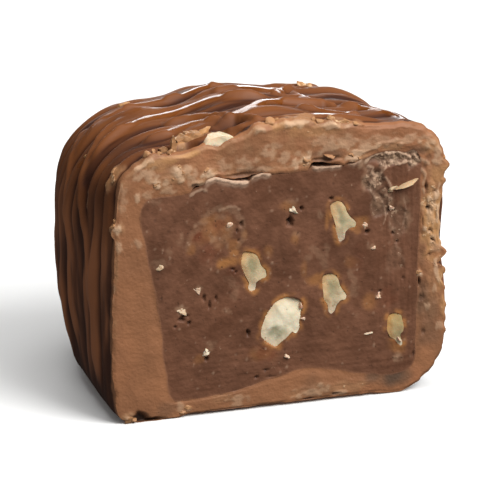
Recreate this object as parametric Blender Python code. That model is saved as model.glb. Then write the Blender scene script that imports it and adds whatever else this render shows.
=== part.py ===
"""The cut half of a hand-dipped chocolate truffle, lying on its flat base.

A thick milk chocolate coating wraps a darker fudge centre with chopped nuts in it. The cut face looks
towards -Y, and the coating closes over the rounded back. Strings of drizzled chocolate run over the top
and down both flanks. +Z is up, and the origin is in the middle of the base.

Sizes are in millimetres, and solid_object turns them into metres.
"""

import math

import bmesh
import bpy
from mathutils import Vector, noise

MM = 0.001

# The half truffle as a whole. Depth counts backwards from the cut face.
BODY_DEPTH = 24.0
BACK_ROUNDNESS = 4.5  # exponent of the curve that closes the back: higher is squarer
BODY_MIDDLE = 12.5  # height that the sections shrink towards
BACK_SAG = 3.0  # how much lower the middle of the back lies than that
BASE_SINK = 0.5  # how far the rounded body is cut off by its flat base
CUT_Y = -11.95  # place of the cut face, and the sideways shift, that centre the whole on its origin
SIDE_SHIFT = 0.41

# Outer sections, as (x, z) of the corners: bottom right, top right, top left, bottom left.
CUT_CORNERS = ((16.0, 0.0), (15.5, 25.5), (-15.0, 24.2), (-15.9, 0.0))
CUT_RADII = (5.4, 4.0, 4.2, 2.3)
CUT_BOWS = (-0.3, 1.5, 0.15)  # how far the right, top and left sides swell outwards
REAR_CORNERS = ((14.6, 0.0), (15.8, 26.0), (-17.1, 25.4), (-15.6, 0.0))
REAR_RADII = (5.0, 7.6, 8.0, 3.6)
REAR_BOWS = (0.3, 1.2, 0.3)
SWELL_REACH = 0.42  # share of the depth over which the section grows from cut to rear

# The fudge centre: the block sits a little askew, and the coating is thinnest at its upper left.
FUDGE_CORNERS = ((12.9, 1.6), (13.3, 23.2), (-13.3, 20.5), (-10.4, 1.5))
FUDGE_RADII = (2.0, 1.2, 1.6, 1.2)
FUDGE_BOWS = (0.0, -0.1, -0.25)
FUDGE_FOOT_RISE = 1.7  # the coating underneath is thickest a little right of the middle
FUDGE_FOOT_SHIFT = 2.5
FUDGE_DEPTH = 20.4
FUDGE_TAPER = 0.1
GAP = 0.3  # clearance that every two touching solids keep

# Drizzled strings, each a ridge over the top that falls down both flanks. Reach is measured along the
# outside, from the cut to the middle of the back.
STRING_COUNT = 12
STRING_FIRST = 1.7
STRING_PITCH = 2.3
STRING_UNEVENNESS = 0.4  # how far the strings after the first depart from an even spacing
STRING_RELIEF = 0.75
STRING_SLANT = 1.8  # how far back a string drifts from the left flank to the right
STRING_SWAY = 0.55  # how far it swings from side to side
STRING_WANDER = 0.35  # how far it wanders with the distance round the section
STRING_CALM = 0.55  # share of the relief that the strings lose towards the middle of the back
STRING_STEPS = 4  # rings of the mesh for each string
STRING_LOWEST = 1.2  # height where the ridges have melted into the base
STRING_FULL = 5.0  # height where they stand at full relief
STRING_LIFT = 11.0  # how much higher the ridges end on the back than on the flanks

# Mesh fineness.
ROUND_COUNT = 64
CAP_RINGS = 6
RIM_RINGS = 4
CAVITY_RINGS = 7
FUDGE_RINGS = 7
FACE_RINGS = 11

RIM_ROUGHNESS = 0.3
EDGE_ROUGHNESS = 0.35  # broken outer edge of the coating at the cut
CRACK_ENDS = (-7.5, -1.5)  # where the coating has parted from the fudge above it, as x
CRACK_WIDTH = 0.7
FACE_ROUGHNESS = 0.14
TEAR_CENTRE = Vector((10.0, 22.4))  # torn corner of the fudge, as (x, z)
TEAR_REACH = Vector((3.6, 2.2))
TEAR_DEPTH = 0.7

# Chopped nuts that the cut went through: (x, z) of the middle, width, height and turn in degrees.
NUTS = {
    "nut_large": ((0.0, 8.1), 3.7, 4.6, -32.0),
    "nut_upper_right": ((5.6, 17.0), 2.1, 3.9, 14.0),
    "nut_left": ((-2.8, 13.2), 2.1, 3.8, 18.0),
    "nut_middle_right": ((4.9, 10.3), 2.1, 3.8, 16.0),
    "nut_lower_right": ((10.8, 6.2), 1.4, 3.0, 8.0),
}
NUT_DEPTH = 2.6
NUT_PROUD = 0.25
NUT_SIDES = 7
RIM_NUT = ((-6.2, 25.0), 3.2, 1.3, 6.0)

SHELL_BROWN = (0.30, 0.135, 0.062)
FUDGE_BROWN = (0.155, 0.073, 0.038)
NUT_CREAM = (0.68, 0.60, 0.42)


def smoothstep(low, high, value):
    """0 below low, 1 above high, and a smooth rise between them."""
    share = min(1.0, max(0.0, (value - low) / (high - low)))
    return share * share * (3.0 - 2.0 * share)


def side(start, end, bow, steps=24):
    """Points from start towards end, swelling outwards by bow in the middle."""
    along = end - start
    outward = Vector((along.y, -along.x)).normalized()
    shares = [step / steps for step in range(steps)]
    return [start + along * s + outward * bow * math.sin(math.pi * s) ** 2 for s in shares]


def corner_arc(before, corner, after, radius, steps=12):
    """Points of the arc that rounds a corner."""
    back, on = (before - corner).normalized(), (after - corner).normalized()
    half_angle = back.angle(on) / 2.0
    centre = corner + (back + on).normalized() * radius / math.sin(half_angle)
    setback = radius / math.tan(half_angle)
    first, last = corner + back * setback - centre, corner + on * setback - centre
    return [centre + first.slerp(last, step / steps) * radius for step in range(steps + 1)]


def evenly_spaced(path, count):
    """count points at equal distances along the closed path."""
    closed = path + path[:1]
    lengths = [0.0]
    for a, b in zip(closed, closed[1:]):
        lengths.append(lengths[-1] + (b - a).length)
    points, piece = [], 0
    for number in range(count):
        target = lengths[-1] * number / count
        while lengths[piece + 1] < target:
            piece += 1
        share = (target - lengths[piece]) / (lengths[piece + 1] - lengths[piece])
        points.append(closed[piece].lerp(closed[piece + 1], share))
    return points


def outline(corners, radii, bows, count=ROUND_COUNT):
    """Section with rounded corners, anticlockwise as the cut face shows it, from the middle of its foot."""
    corners = [Vector(c) for c in corners]
    arcs = []
    for index, (corner, radius) in enumerate(zip(corners, radii)):
        arcs.append(corner_arc(corners[index - 1], corner, corners[(index + 1) % 4], radius))
    foot = (arcs[3][-1] + arcs[0][0]) / 2.0
    path = side(foot, arcs[0][0], 0.0)
    for index, bow in enumerate(bows):
        path += arcs[index][:-1] + side(arcs[index][-1], arcs[index + 1][0], bow)
    path += arcs[3][:-1] + side(arcs[3][-1], foot, 0.0)
    return evenly_spaced(path, count)


CUT_SECTION = outline(CUT_CORNERS, CUT_RADII, CUT_BOWS)
REAR_SECTION = outline(REAR_CORNERS, REAR_RADII, REAR_BOWS)
PERIMETER = sum((CUT_SECTION[index] - CUT_SECTION[index - 1]).length for index in range(ROUND_COUNT))


def closing(share, roundness=BACK_ROUNDNESS):
    """How much of its full size a section keeps at this share of the depth."""
    return max(0.0, 1.0 - min(1.0, share) ** roundness) ** (1.0 / roundness)


def body_point(index, depth):
    """Point of the smooth outer surface, before the strings."""
    share = depth / BODY_DEPTH
    grown = smoothstep(0.0, SWELL_REACH, share)
    flat = CUT_SECTION[index].lerp(REAR_SECTION[index], grown)
    size = closing(share)
    middle = BODY_MIDDLE - BACK_SAG * (1.0 - size)
    height = middle + (flat.y - BODY_MIDDLE) * size
    sunk = BASE_SINK * smoothstep(0.0, 0.3, share)
    return Vector((flat.x * size, CUT_Y + depth, max(0.0, height - sunk)))


def reach_table(samples=600):
    """(reach, share of the depth) pairs along the outside, from the cut to the middle of the back."""
    half_width = CUT_CORNERS[0][0]
    table = [(0.0, 0.0)]
    last = Vector((0.0, half_width))
    for number in range(1, samples + 1):
        share = math.sin(0.5 * math.pi * number / samples) ** 0.5
        here = Vector((share * BODY_DEPTH, closing(share) * half_width))
        table.append((table[-1][0] + (here - last).length, share))
        last = here
    return table


REACHES = reach_table()
FULL_REACH = REACHES[-1][0]


def depth_at(reach):
    """Depth where the outside has run this far from the cut."""
    low, high = 0, len(REACHES) - 1
    while high - low > 1:
        middle = (low + high) // 2
        low, high = (middle, high) if REACHES[middle][0] <= reach else (low, middle)
    (start, near), (end, far) = REACHES[low], REACHES[high]
    part = min(1.0, max(0.0, (reach - start) / (end - start)))
    return BODY_DEPTH * (near + (far - near) * part)


def body_normal(index, reach):
    """Outward direction of the smooth surface."""
    step = 0.2
    depth = depth_at(reach)
    before, after = body_point(index - 1, depth), body_point((index + 1) % ROUND_COUNT, depth)
    near = body_point(index, depth_at(reach - step))
    far = body_point(index, depth_at(reach + step))
    return (after - before).cross(near - far).normalized()


def string_reach(number, index):
    """Reach of the crest of string number where it passes this point of the section."""
    rest = STRING_FIRST + STRING_PITCH * number
    if number:
        rest += STRING_UNEVENNESS * math.sin(2.3 * number + 0.4)
    x = CUT_SECTION[index].x
    from_top = PERIMETER * (0.5 - index / ROUND_COUNT)
    drift = STRING_SLANT * x / 32.0 + STRING_SWAY * math.sin(0.27 * x + 2.4 * number)
    drift += STRING_WANDER * math.sin(0.21 * from_top + 1.3 * number)
    near_cut = smoothstep(0.0, 7.0, rest - STRING_FIRST)
    near_middle = 1.0 - smoothstep(0.82, 0.95, rest / FULL_REACH)
    return rest + drift * near_cut * near_middle


def string_point(index, number):
    """Point of the ridged surface on a ring that lies on or between two strings."""
    x = CUT_SECTION[index].x
    whole = math.floor(number)
    part = number - whole
    reach = (1.0 - part) * string_reach(whole, index) + part * string_reach(whole + 1, index)
    point = body_point(index, depth_at(reach))
    crest = 0.5 + 0.5 * math.cos(2.0 * math.pi * part)
    relief = STRING_RELIEF * crest * (0.85 + 0.25 * math.sin(1.7 * whole + 0.2 * x))
    relief *= 1.0 - STRING_CALM * smoothstep(0.62, 0.8, reach / FULL_REACH)
    lift = STRING_LIFT * (1.0 - closing(depth_at(reach) / BODY_DEPTH))
    melted = smoothstep(STRING_LOWEST + lift, STRING_FULL + lift, CUT_SECTION[index].y)
    return point + body_normal(index, reach) * relief * melted


def moved_outwards(section, distance):
    """The section with each point moved along its outward normal."""
    moved = []
    for index, point in enumerate(section):
        along = section[(index + 1) % len(section)] - section[index - 1]
        moved.append(point + Vector((along.y, -along.x)).normalized() * distance)
    return moved


def fudge_section():
    """Outline of the fudge at the cut, with its foot lifted where the coating below is thick."""
    section = outline(FUDGE_CORNERS, FUDGE_RADII, FUDGE_BOWS)
    lifted = []
    for point in section:
        foot = 1.0 - smoothstep(2.0, 9.0, point.y)
        hump = math.exp(-(((point.x - FUDGE_FOOT_SHIFT) / 5.5) ** 2))
        lifted.append(Vector((point.x, point.y + FUDGE_FOOT_RISE * foot * hump)))
    return lifted


def fudge_ring(section, depth, full_depth):
    """Ring of the fudge, or of its cavity, at a depth."""
    share = depth / full_depth
    size = closing(share) * (1.0 - FUDGE_TAPER * share)
    centre = sum(section, Vector((0.0, 0.0))) / len(section)
    flat = [centre + (point - centre) * size for point in section]
    return [Vector((point.x, CUT_Y + depth, point.y)) for point in flat]


def rough(point, size, amount):
    """Uneven height of a broken surface."""
    return amount * noise.noise(point / size)


def solid_object(name, rings, colour, roughness):
    """A closed body from rings of points: neighbouring rings are bridged, and both ends are fanned shut."""
    mesh = bmesh.new()
    shift = Vector((SIDE_SHIFT, 0.0, 0.0))
    loops = [[mesh.verts.new((point + shift) * MM) for point in ring] for ring in rings]
    for near, far in zip(loops, loops[1:]):
        for index in range(len(near)):
            after = (index + 1) % len(near)
            mesh.faces.new((near[index], near[after], far[after], far[index]))
    for loop in (list(reversed(loops[0])), loops[-1]):
        pole = mesh.verts.new(sum((vert.co for vert in loop), Vector()) / len(loop))
        for index, vert in enumerate(loop):
            mesh.faces.new((vert, loop[(index + 1) % len(loop)], pole))
    if mesh.calc_volume(signed=True) < 0.0:
        bmesh.ops.reverse_faces(mesh, faces=mesh.faces)
    return finished(name, mesh, colour, roughness)


def finished(name, mesh, colour, roughness):
    """Object of a bmesh, shaded smooth, in its own material."""
    data = bpy.data.meshes.new(name)
    mesh.to_mesh(data)
    mesh.free()
    data.shade_smooth()
    data.set_sharp_from_angle(angle=math.radians(40.0))
    thing = bpy.data.objects.new(name, data)
    bpy.context.scene.collection.objects.link(thing)
    material = bpy.data.materials.get(name) or bpy.data.materials.new(name)
    material.use_nodes = True
    surface = material.node_tree.nodes["Principled BSDF"]
    surface.inputs["Base Color"].default_value = (*colour, 1.0)
    surface.inputs["Roughness"].default_value = roughness
    surface.inputs["Metallic"].default_value = 0.0
    data.materials.append(material)
    return thing


def broken_edge():
    """Outer edge of the coating where the cut broke it unevenly, mostly at the right."""
    edge = []
    for index in range(ROUND_COUNT):
        point = body_point(index, 0.0)
        amount = EDGE_ROUGHNESS * (0.4 + 0.6 * smoothstep(9.0, 14.0, point.x))
        inwards = Vector((-point.x, 0.0, BODY_MIDDLE - point.z)).normalized()
        edge.append(point + inwards * abs(rough(point, 1.1, amount)) * smoothstep(0.0, 2.0, point.z))
    return edge


def cracked(point):
    """A point of the coating's inner edge, lifted where it has parted from the fudge."""
    middle = (CRACK_ENDS[0] + CRACK_ENDS[1]) / 2.0
    half = (CRACK_ENDS[1] - CRACK_ENDS[0]) / 2.0
    opened = max(0.0, 1.0 - abs(point.x - middle) / half) if point.z > BODY_MIDDLE else 0.0
    return point + Vector((0.0, 0.0, CRACK_WIDTH * opened ** 0.5))


def make_coating():
    """The chocolate coating: outside with its strings, broken rim at the cut, and cavity for the fudge."""
    outside = []
    cap_start = STRING_FIRST + STRING_PITCH * (STRING_COUNT - 0.5)
    for number in reversed(range(1, CAP_RINGS)):
        depth = depth_at(cap_start + (FULL_REACH - cap_start) * number / CAP_RINGS)
        outside.append([body_point(index, depth) for index in range(ROUND_COUNT)])
    for step in reversed(range(1, STRING_COUNT * STRING_STEPS + 1)):
        number = (step - STRING_STEPS // 2) / STRING_STEPS
        outside.append([string_point(index, number) for index in range(ROUND_COUNT)])
    cavity = moved_outwards(fudge_section(), GAP)
    rim_inner = [cracked(point) for point in fudge_ring(cavity, 0.0, FUDGE_DEPTH + GAP)]
    rim = []
    for number in range(RIM_RINGS + 1):
        share = number / RIM_RINGS
        ring = []
        for a, b in zip(broken_edge(), rim_inner):
            point = a.lerp(b, share)
            crags = rough(point, 1.6, RIM_ROUGHNESS * math.sin(math.pi * share))
            ring.append(point + Vector((0.0, crags, 0.0)))
        rim.append(ring)
    inside = []
    for number in range(1, CAVITY_RINGS):
        depth = (FUDGE_DEPTH + GAP) * math.sin(0.5 * math.pi * number / CAVITY_RINGS) ** 0.7
        inside.append(fudge_ring(cavity, depth, FUDGE_DEPTH + GAP))
    return solid_object("coating", outside + rim + inside, SHELL_BROWN, 0.3)


def fudge_face_point(point):
    """A point of the cut face, pushed in where the corner is torn out and roughened all over."""
    reach = Vector(((point.x - TEAR_CENTRE.x) / TEAR_REACH.x, (point.z - TEAR_CENTRE.y) / TEAR_REACH.y))
    torn = 1.0 - smoothstep(0.6, 1.1, reach.length)
    crags = FACE_ROUGHNESS * (1.0 + 2.0 * torn)
    return point + Vector((0.0, TEAR_DEPTH * torn + rough(point, 1.3, crags), 0.0))


def make_fudge():
    """The fudge centre, which runs from the cut face to near the back."""
    section = fudge_section()
    rings = []
    for number in range(1, FACE_RINGS + 1):
        share = number / FACE_RINGS
        rim = fudge_ring(section, 0.0, FUDGE_DEPTH)
        centre = sum(rim, Vector()) / len(rim)
        rings.append([fudge_face_point(centre.lerp(point, share)) for point in rim])
    for number in range(1, FUDGE_RINGS):
        depth = FUDGE_DEPTH * math.sin(0.5 * math.pi * number / FUDGE_RINGS) ** 0.7
        rings.append(fudge_ring(section, depth, FUDGE_DEPTH))
    return solid_object("fudge_centre", rings, FUDGE_BROWN, 0.6)


def nut_rings(spec, margin, sides=NUT_SIDES):
    """Rings of a chopped nut, cut flat in front and narrowing to a blunt chip behind."""
    (x, z), width, height, turn = spec
    lean = math.radians(turn)
    front, back = -NUT_PROUD - margin * 4.0, NUT_DEPTH + margin
    rings = []
    for depth, size in ((front, 0.92), (0.0, 1.0), (0.5 * back, 0.95), (back, 0.5)):
        ring = []
        for number in range(sides):
            angle = 2.0 * math.pi * number / sides
            uneven = 1.0 + 0.16 * math.sin(2.0 * angle + x) + 0.08 * math.cos(3.0 * angle + z)
            across = math.cos(angle) * (width * uneven * size / 2.0 + margin)
            up = math.sin(angle) * (height * uneven * size / 2.0 + margin)
            ring.append(Vector((x + across * math.cos(lean) - up * math.sin(lean), CUT_Y + depth,
                                z + across * math.sin(lean) + up * math.cos(lean))))
        rings.append(ring)
    return rings


def cut_pocket(thing, name, spec):
    """Cuts the pocket of a nut out of what it is bedded in."""
    cutter = solid_object(name + "_pocket", nut_rings(spec, GAP), NUT_CREAM, 0.5)
    cutter.hide_render = True
    cutter.display_type = "WIRE"
    pocket = thing.modifiers.new(name + "_pocket", "BOOLEAN")
    pocket.operation = "DIFFERENCE"
    pocket.solver = "EXACT"
    pocket.object = cutter


def make_nut(name, spec, host):
    """A chopped nut in its pocket."""
    nut = solid_object(name, nut_rings(spec, 0.0), NUT_CREAM, 0.5)
    nut.data.set_sharp_from_angle(angle=math.radians(20.0))
    cut_pocket(host, name, spec)
    return nut


def main():
    """Builds the truffle half in an empty scene."""
    for thing in list(bpy.data.objects):
        bpy.data.objects.remove(thing)
    coating = make_coating()
    fudge = make_fudge()
    for name, spec in NUTS.items():
        make_nut(name, spec, fudge)
    make_nut("nut_rim", RIM_NUT, coating)


main()
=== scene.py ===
"""Looks of the cut truffle half: glossy drizzled coating, broken cut rim, fudge with chopped nuts.

Lengths in this file are in millimetres until a mesh is written. The cut face looks towards -Y.
x runs to the right along the cut and z up. "round" is the distance round the section, to the right
of the middle of the top, and "reach" is the distance along the outside from the cut to the back.
"""

import math
import random

import bpy
import numpy as np
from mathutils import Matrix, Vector, kdtree, noise


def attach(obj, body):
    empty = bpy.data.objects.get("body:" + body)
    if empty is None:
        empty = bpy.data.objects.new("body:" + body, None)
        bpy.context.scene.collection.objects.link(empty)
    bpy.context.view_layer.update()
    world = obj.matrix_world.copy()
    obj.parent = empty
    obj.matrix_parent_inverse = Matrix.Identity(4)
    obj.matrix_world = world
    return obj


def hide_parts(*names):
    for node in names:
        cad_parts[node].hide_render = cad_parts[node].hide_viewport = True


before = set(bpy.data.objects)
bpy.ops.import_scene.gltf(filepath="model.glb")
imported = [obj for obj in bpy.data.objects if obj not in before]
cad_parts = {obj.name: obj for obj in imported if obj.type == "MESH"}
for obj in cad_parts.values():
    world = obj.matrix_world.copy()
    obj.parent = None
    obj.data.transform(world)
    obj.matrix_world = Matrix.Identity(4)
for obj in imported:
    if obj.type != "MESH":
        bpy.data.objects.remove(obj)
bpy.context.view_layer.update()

MM = 0.001
MERGE_DISTANCE = 0.002 * MM

# ---------------------------------------------------------------- sizes shared with the solids

BODY_DEPTH = 24.0
BACK_ROUNDNESS = 4.5
BODY_MIDDLE = 12.5
BACK_SAG = 3.0
BASE_SINK = 0.5
CUT_Y = -11.95
SHIFT = np.array([0.41, 0.0, 0.0])

CUT_CORNERS = ((16.0, 0.0), (15.5, 25.5), (-15.0, 24.2), (-15.9, 0.0))
CUT_RADII = (5.4, 4.0, 4.2, 2.3)
CUT_BOWS = (-0.3, 1.5, 0.15)
REAR_CORNERS = ((14.6, 0.0), (15.8, 26.0), (-17.1, 25.4), (-15.6, 0.0))
REAR_RADII = (5.0, 7.6, 8.0, 3.6)
REAR_BOWS = (0.3, 1.2, 0.3)
SWELL_REACH = 0.42

FUDGE_CORNERS = ((12.9, 1.6), (13.3, 23.2), (-13.3, 20.5), (-10.4, 1.5))
FUDGE_RADII = (2.0, 1.2, 1.6, 1.2)
FUDGE_BOWS = (0.0, -0.1, -0.25)
FUDGE_FOOT_RISE = 1.7
FUDGE_FOOT_SHIFT = 2.5
FUDGE_DEPTH = 20.4
FUDGE_TAPER = 0.1
FUDGE_STATIONS = (0.06, 0.2, 0.4, 0.6, 0.75, 0.86, 0.94, 0.985)
FACE_SET_BACK = 0.05

STRING_COUNT = 12
STRING_FIRST = 1.7
STRING_PITCH = 2.3
STRING_UNEVENNESS = 0.4
STRING_SLANT = 1.8
STRING_SWAY = 0.55
STRING_CALM = 0.55

# ---------------------------------------------------------------- fineness of the looks

AROUND = 460
NEAR_ROWS, NEAR_REACH = 36, 3.6
DRIZZLED_ROWS, DRIZZLED_REACH = 114, 28.0
REAR_ROWS = 18
RIM_ROWS = 40
BLUSHED_ROWS = 12
CAVITY_ROWS = 6
FACE_COLUMNS, FACE_ROWS = 270, 210
FACE_OUTLINE = 1600
STROKE_STEPS = 10
NUT_STEPS = 5

rng = random.Random(7)


# ---------------------------------------------------------------- small helpers


def smoothstep(low, high, value):
    """Rises softly from 0 at low to 1 at high."""
    share = np.clip((value - low) / (high - low), 0.0, 1.0)
    return share * share * (3.0 - 2.0 * share)


def fall(low, high, value):
    """Falls softly from 1 at low to 0 at high."""
    return 1.0 - smoothstep(low, high, value)


def sampled(points, size, offset, pattern):
    """Value of a noise pattern at each row of points, with features of this size."""
    flat = np.asarray(points, float).reshape(-1, 3) / size
    return np.array([pattern(Vector(p) + offset) for p in flat]).reshape(np.shape(points)[:-1])


def lumps(points, size, seed):
    """Smooth noise between about -1 and 1."""
    return sampled(points, size, Vector((seed * 17.3, seed * 5.1, seed * 9.7)), noise.noise)


def crags(points, size, seed):
    """Rough noise like broken chocolate."""
    return sampled(points, size, Vector((seed * 11.9, seed * 7.7, seed * 3.1)),
                   lambda place: noise.fractal(place, 0.75, 2.0, 4))


def standing(section, y):
    """The points of a flat section of (x, z), stood up at this y."""
    return np.stack([section[..., 0], np.full(section.shape[:-1], float(y)), section[..., 1]], axis=-1)


def closed_round(grid):
    """A grid with its first column repeated at its end."""
    return np.concatenate([grid, grid[:, :1]], axis=1)


def within_outline(path, points):
    """True where a point lies inside a closed path of (x, z)."""
    x, z = points[..., 0], points[..., 2]
    inside = np.zeros(x.shape, bool)
    for (ax, az), (bx, bz) in zip(path, np.roll(path, -1, axis=0)):
        crosses = (az > z) != (bz > z)
        with np.errstate(divide="ignore", invalid="ignore"):
            inside ^= crosses & (x < ax + (bx - ax) * (z - az) / (bz - az))
    return inside


def bump_at(values, centre, width):
    """1 at the centre and 0 from width away."""
    return np.clip(1.0 - ((values - centre) / width) ** 2, 0.0, 1.0) ** 1.5


def spots(points, table, seed, ragged=0.3, grain=0.6, soft=0.5):
    """Strongest of the spots in a table (x, z, half width, half height, strength) at each point."""
    x, z = points[..., 0], points[..., 2]
    wander = ragged * lumps(points, grain, seed)
    total = np.zeros(x.shape)
    for centre_x, centre_z, half_width, half_height, strength in table:
        away = np.hypot((x - centre_x) / half_width, (z - centre_z) / half_height)
        total = np.maximum(total, strength * fall(1.0 - soft, 1.0, away + wander))
    return total


def strokes(points, table, seed, ragged=0.4, grain=0.5):
    """Strongest of the strokes in a table (corners, half width, strength) at each point."""
    wander = ragged * lumps(points, grain, seed)
    total = np.zeros(points.shape[:-1])
    for corners, half_width, strength in table:
        away = distance_to(smooth_curve(corners, STROKE_STEPS), points) / half_width
        total = np.maximum(total, strength * fall(0.4, 1.2, away + wander))
    return total


def distance_to(path, points):
    """Distance in the plane of the cut from each point to the nearest point of a path of (x, z)."""
    tree = kdtree.KDTree(len(path))
    for index, (x, z) in enumerate(path):
        tree.insert((x, 0.0, z), index)
    tree.balance()
    flat = points.reshape(-1, 3)
    found = [tree.find((x, 0.0, z))[2] for x, _, z in flat]
    return np.array(found).reshape(points.shape[:-1])


def smooth_curve(corners, steps, closed=False):
    """Points on a soft curve through the corners."""
    corners = np.array(corners, float)
    count = len(corners)
    points = []
    for span in range(count if closed else count - 1):
        picks = range(span - 1, span + 3)
        a, b, c, d = (corners[k % count if closed else min(max(k, 0), count - 1)] for k in picks)
        for t in (step / steps for step in range(steps)):
            bend = 2 * a - 5 * b + 4 * c - d + t * (3 * (b - c) + d - a)
            points.append(b + 0.5 * t * (c - a + t * bend))
    if not closed:
        points.append(corners[-1])
    return np.array(points)


# ---------------------------------------------------------------- form of the body


def side(start, end, bow, steps=60):
    along = end - start
    outward = Vector((along.y, -along.x)).normalized()
    shares = [step / steps for step in range(steps)]
    return [start + along * s + outward * bow * math.sin(math.pi * s) ** 2 for s in shares]


def corner_arc(before, corner, after, radius, steps=24):
    back, on = (before - corner).normalized(), (after - corner).normalized()
    half_angle = back.angle(on) / 2.0
    centre = corner + (back + on).normalized() * radius / math.sin(half_angle)
    setback = radius / math.tan(half_angle)
    first, last = corner + back * setback - centre, corner + on * setback - centre
    return [centre + first.slerp(last, step / steps) * radius for step in range(steps + 1)]


def evenly_spaced(path, count, closed=True):
    """Points at equal distances along a path, as an array."""
    points = np.array([tuple(p) for p in path])
    if closed:
        points = np.vstack([points, points[:1]])
    lengths = np.concatenate([[0.0], np.cumsum(np.linalg.norm(np.diff(points, axis=0), axis=1))])
    targets = np.linspace(0.0, lengths[-1], count + 1 if closed else count)
    if closed:
        targets = targets[:-1]
    return np.stack([np.interp(targets, lengths, points[:, k]) for k in (0, 1)], axis=1)


def outline(corners, radii, bows, count):
    """Section with rounded corners, anticlockwise as the cut shows it, from the middle of its foot."""
    corners = [Vector(c) for c in corners]
    arcs = []
    for index, (corner, radius) in enumerate(zip(corners, radii)):
        arcs.append(corner_arc(corners[index - 1], corner, corners[(index + 1) % 4], radius))
    foot = (arcs[3][-1] + arcs[0][0]) / 2.0
    path = side(foot, arcs[0][0], 0.0)
    for index, bow in enumerate(bows):
        path += arcs[index][:-1] + side(arcs[index][-1], arcs[index + 1][0], bow)
    path += arcs[3][:-1] + side(arcs[3][-1], foot, 0.0)
    return evenly_spaced(path, count)


def closing(share):
    return np.maximum(0.0, 1.0 - np.minimum(1.0, share) ** BACK_ROUNDNESS) ** (1.0 / BACK_ROUNDNESS)


CUT_SECTION = outline(CUT_CORNERS, CUT_RADII, CUT_BOWS, AROUND)
REAR_SECTION = outline(REAR_CORNERS, REAR_RADII, REAR_BOWS, AROUND)
STEPS_ROUND = np.linalg.norm(np.diff(np.vstack([CUT_SECTION, CUT_SECTION[:1]]), axis=0), axis=1)
ROUND = float(np.sum(STEPS_ROUND)) * (0.5 - np.arange(AROUND) / AROUND)


def reach_table(samples=2000):
    """Distance along the outside from the cut, and the share of the depth there."""
    share = np.sin(0.5 * math.pi * np.linspace(0.0, 1.0, samples)) ** 0.5
    path = np.stack([share * BODY_DEPTH, closing(share) * CUT_CORNERS[0][0]], axis=1)
    reach = np.concatenate([[0.0], np.cumsum(np.linalg.norm(np.diff(path, axis=0), axis=1))])
    return reach, share


REACH, REACH_SHARE = reach_table()
FULL_REACH = float(REACH[-1])


def reach_rows():
    """Reaches of the rows of the outside: close together behind the rim, wider apart at the back."""
    near = np.linspace(0.0, NEAR_REACH, NEAR_ROWS + 1)[:-1]
    drizzled = np.linspace(NEAR_REACH, DRIZZLED_REACH, DRIZZLED_ROWS + 1)[:-1]
    return np.concatenate([near, drizzled, np.linspace(DRIZZLED_REACH, FULL_REACH, REAR_ROWS)])


def body_surface(reach):
    """Smooth outer surface: one row of points round the section for each reach."""
    share = np.interp(reach, REACH, REACH_SHARE)[:, None, None]
    grown = smoothstep(0.0, SWELL_REACH, share)
    flat = CUT_SECTION[None] * (1.0 - grown) + REAR_SECTION[None] * grown
    size = closing(share)
    middle = BODY_MIDDLE - BACK_SAG * (1.0 - size)
    height = middle[..., 0] + (flat[..., 1] - BODY_MIDDLE) * size[..., 0]
    sunk = BASE_SINK * smoothstep(0.0, 0.3, share[..., 0])
    depth = np.broadcast_to(CUT_Y + share[..., 0] * BODY_DEPTH, height.shape)
    return np.stack([flat[..., 0] * size[..., 0], depth, height - sunk], axis=-1)


def surface_normals(grid):
    """Outward directions of a closed-round grid of points, for rows in order of their reach."""
    around = np.roll(grid, -1, axis=1) - np.roll(grid, 1, axis=1)
    along = np.gradient(grid, axis=0)
    normal = np.cross(around, -along)
    return normal / np.maximum(np.linalg.norm(normal, axis=-1, keepdims=True), 1e-9)


# ---------------------------------------------------------------- drizzled strings

STRING_TALL = 0.56
STRING_WIDE = 0.98
STRING_STEPS = 36
MERGE_SHARPNESS = 3.0
# How much a pattern is drawn out round the section: patches, streaks of the relief and of the colour.
PATCH_STRETCH = np.array([0.45, 1.0, 1.0])
RELIEF_STRETCH = np.array([0.16, 1.0, 1.0])
COLOUR_STRETCH = np.array([0.11, 1.0, 1.0])
# Glossy lengths have flat crests: height above which they are flattened, and how much.
FLAT_TOP = 0.42
FLATTENED = 0.85

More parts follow.
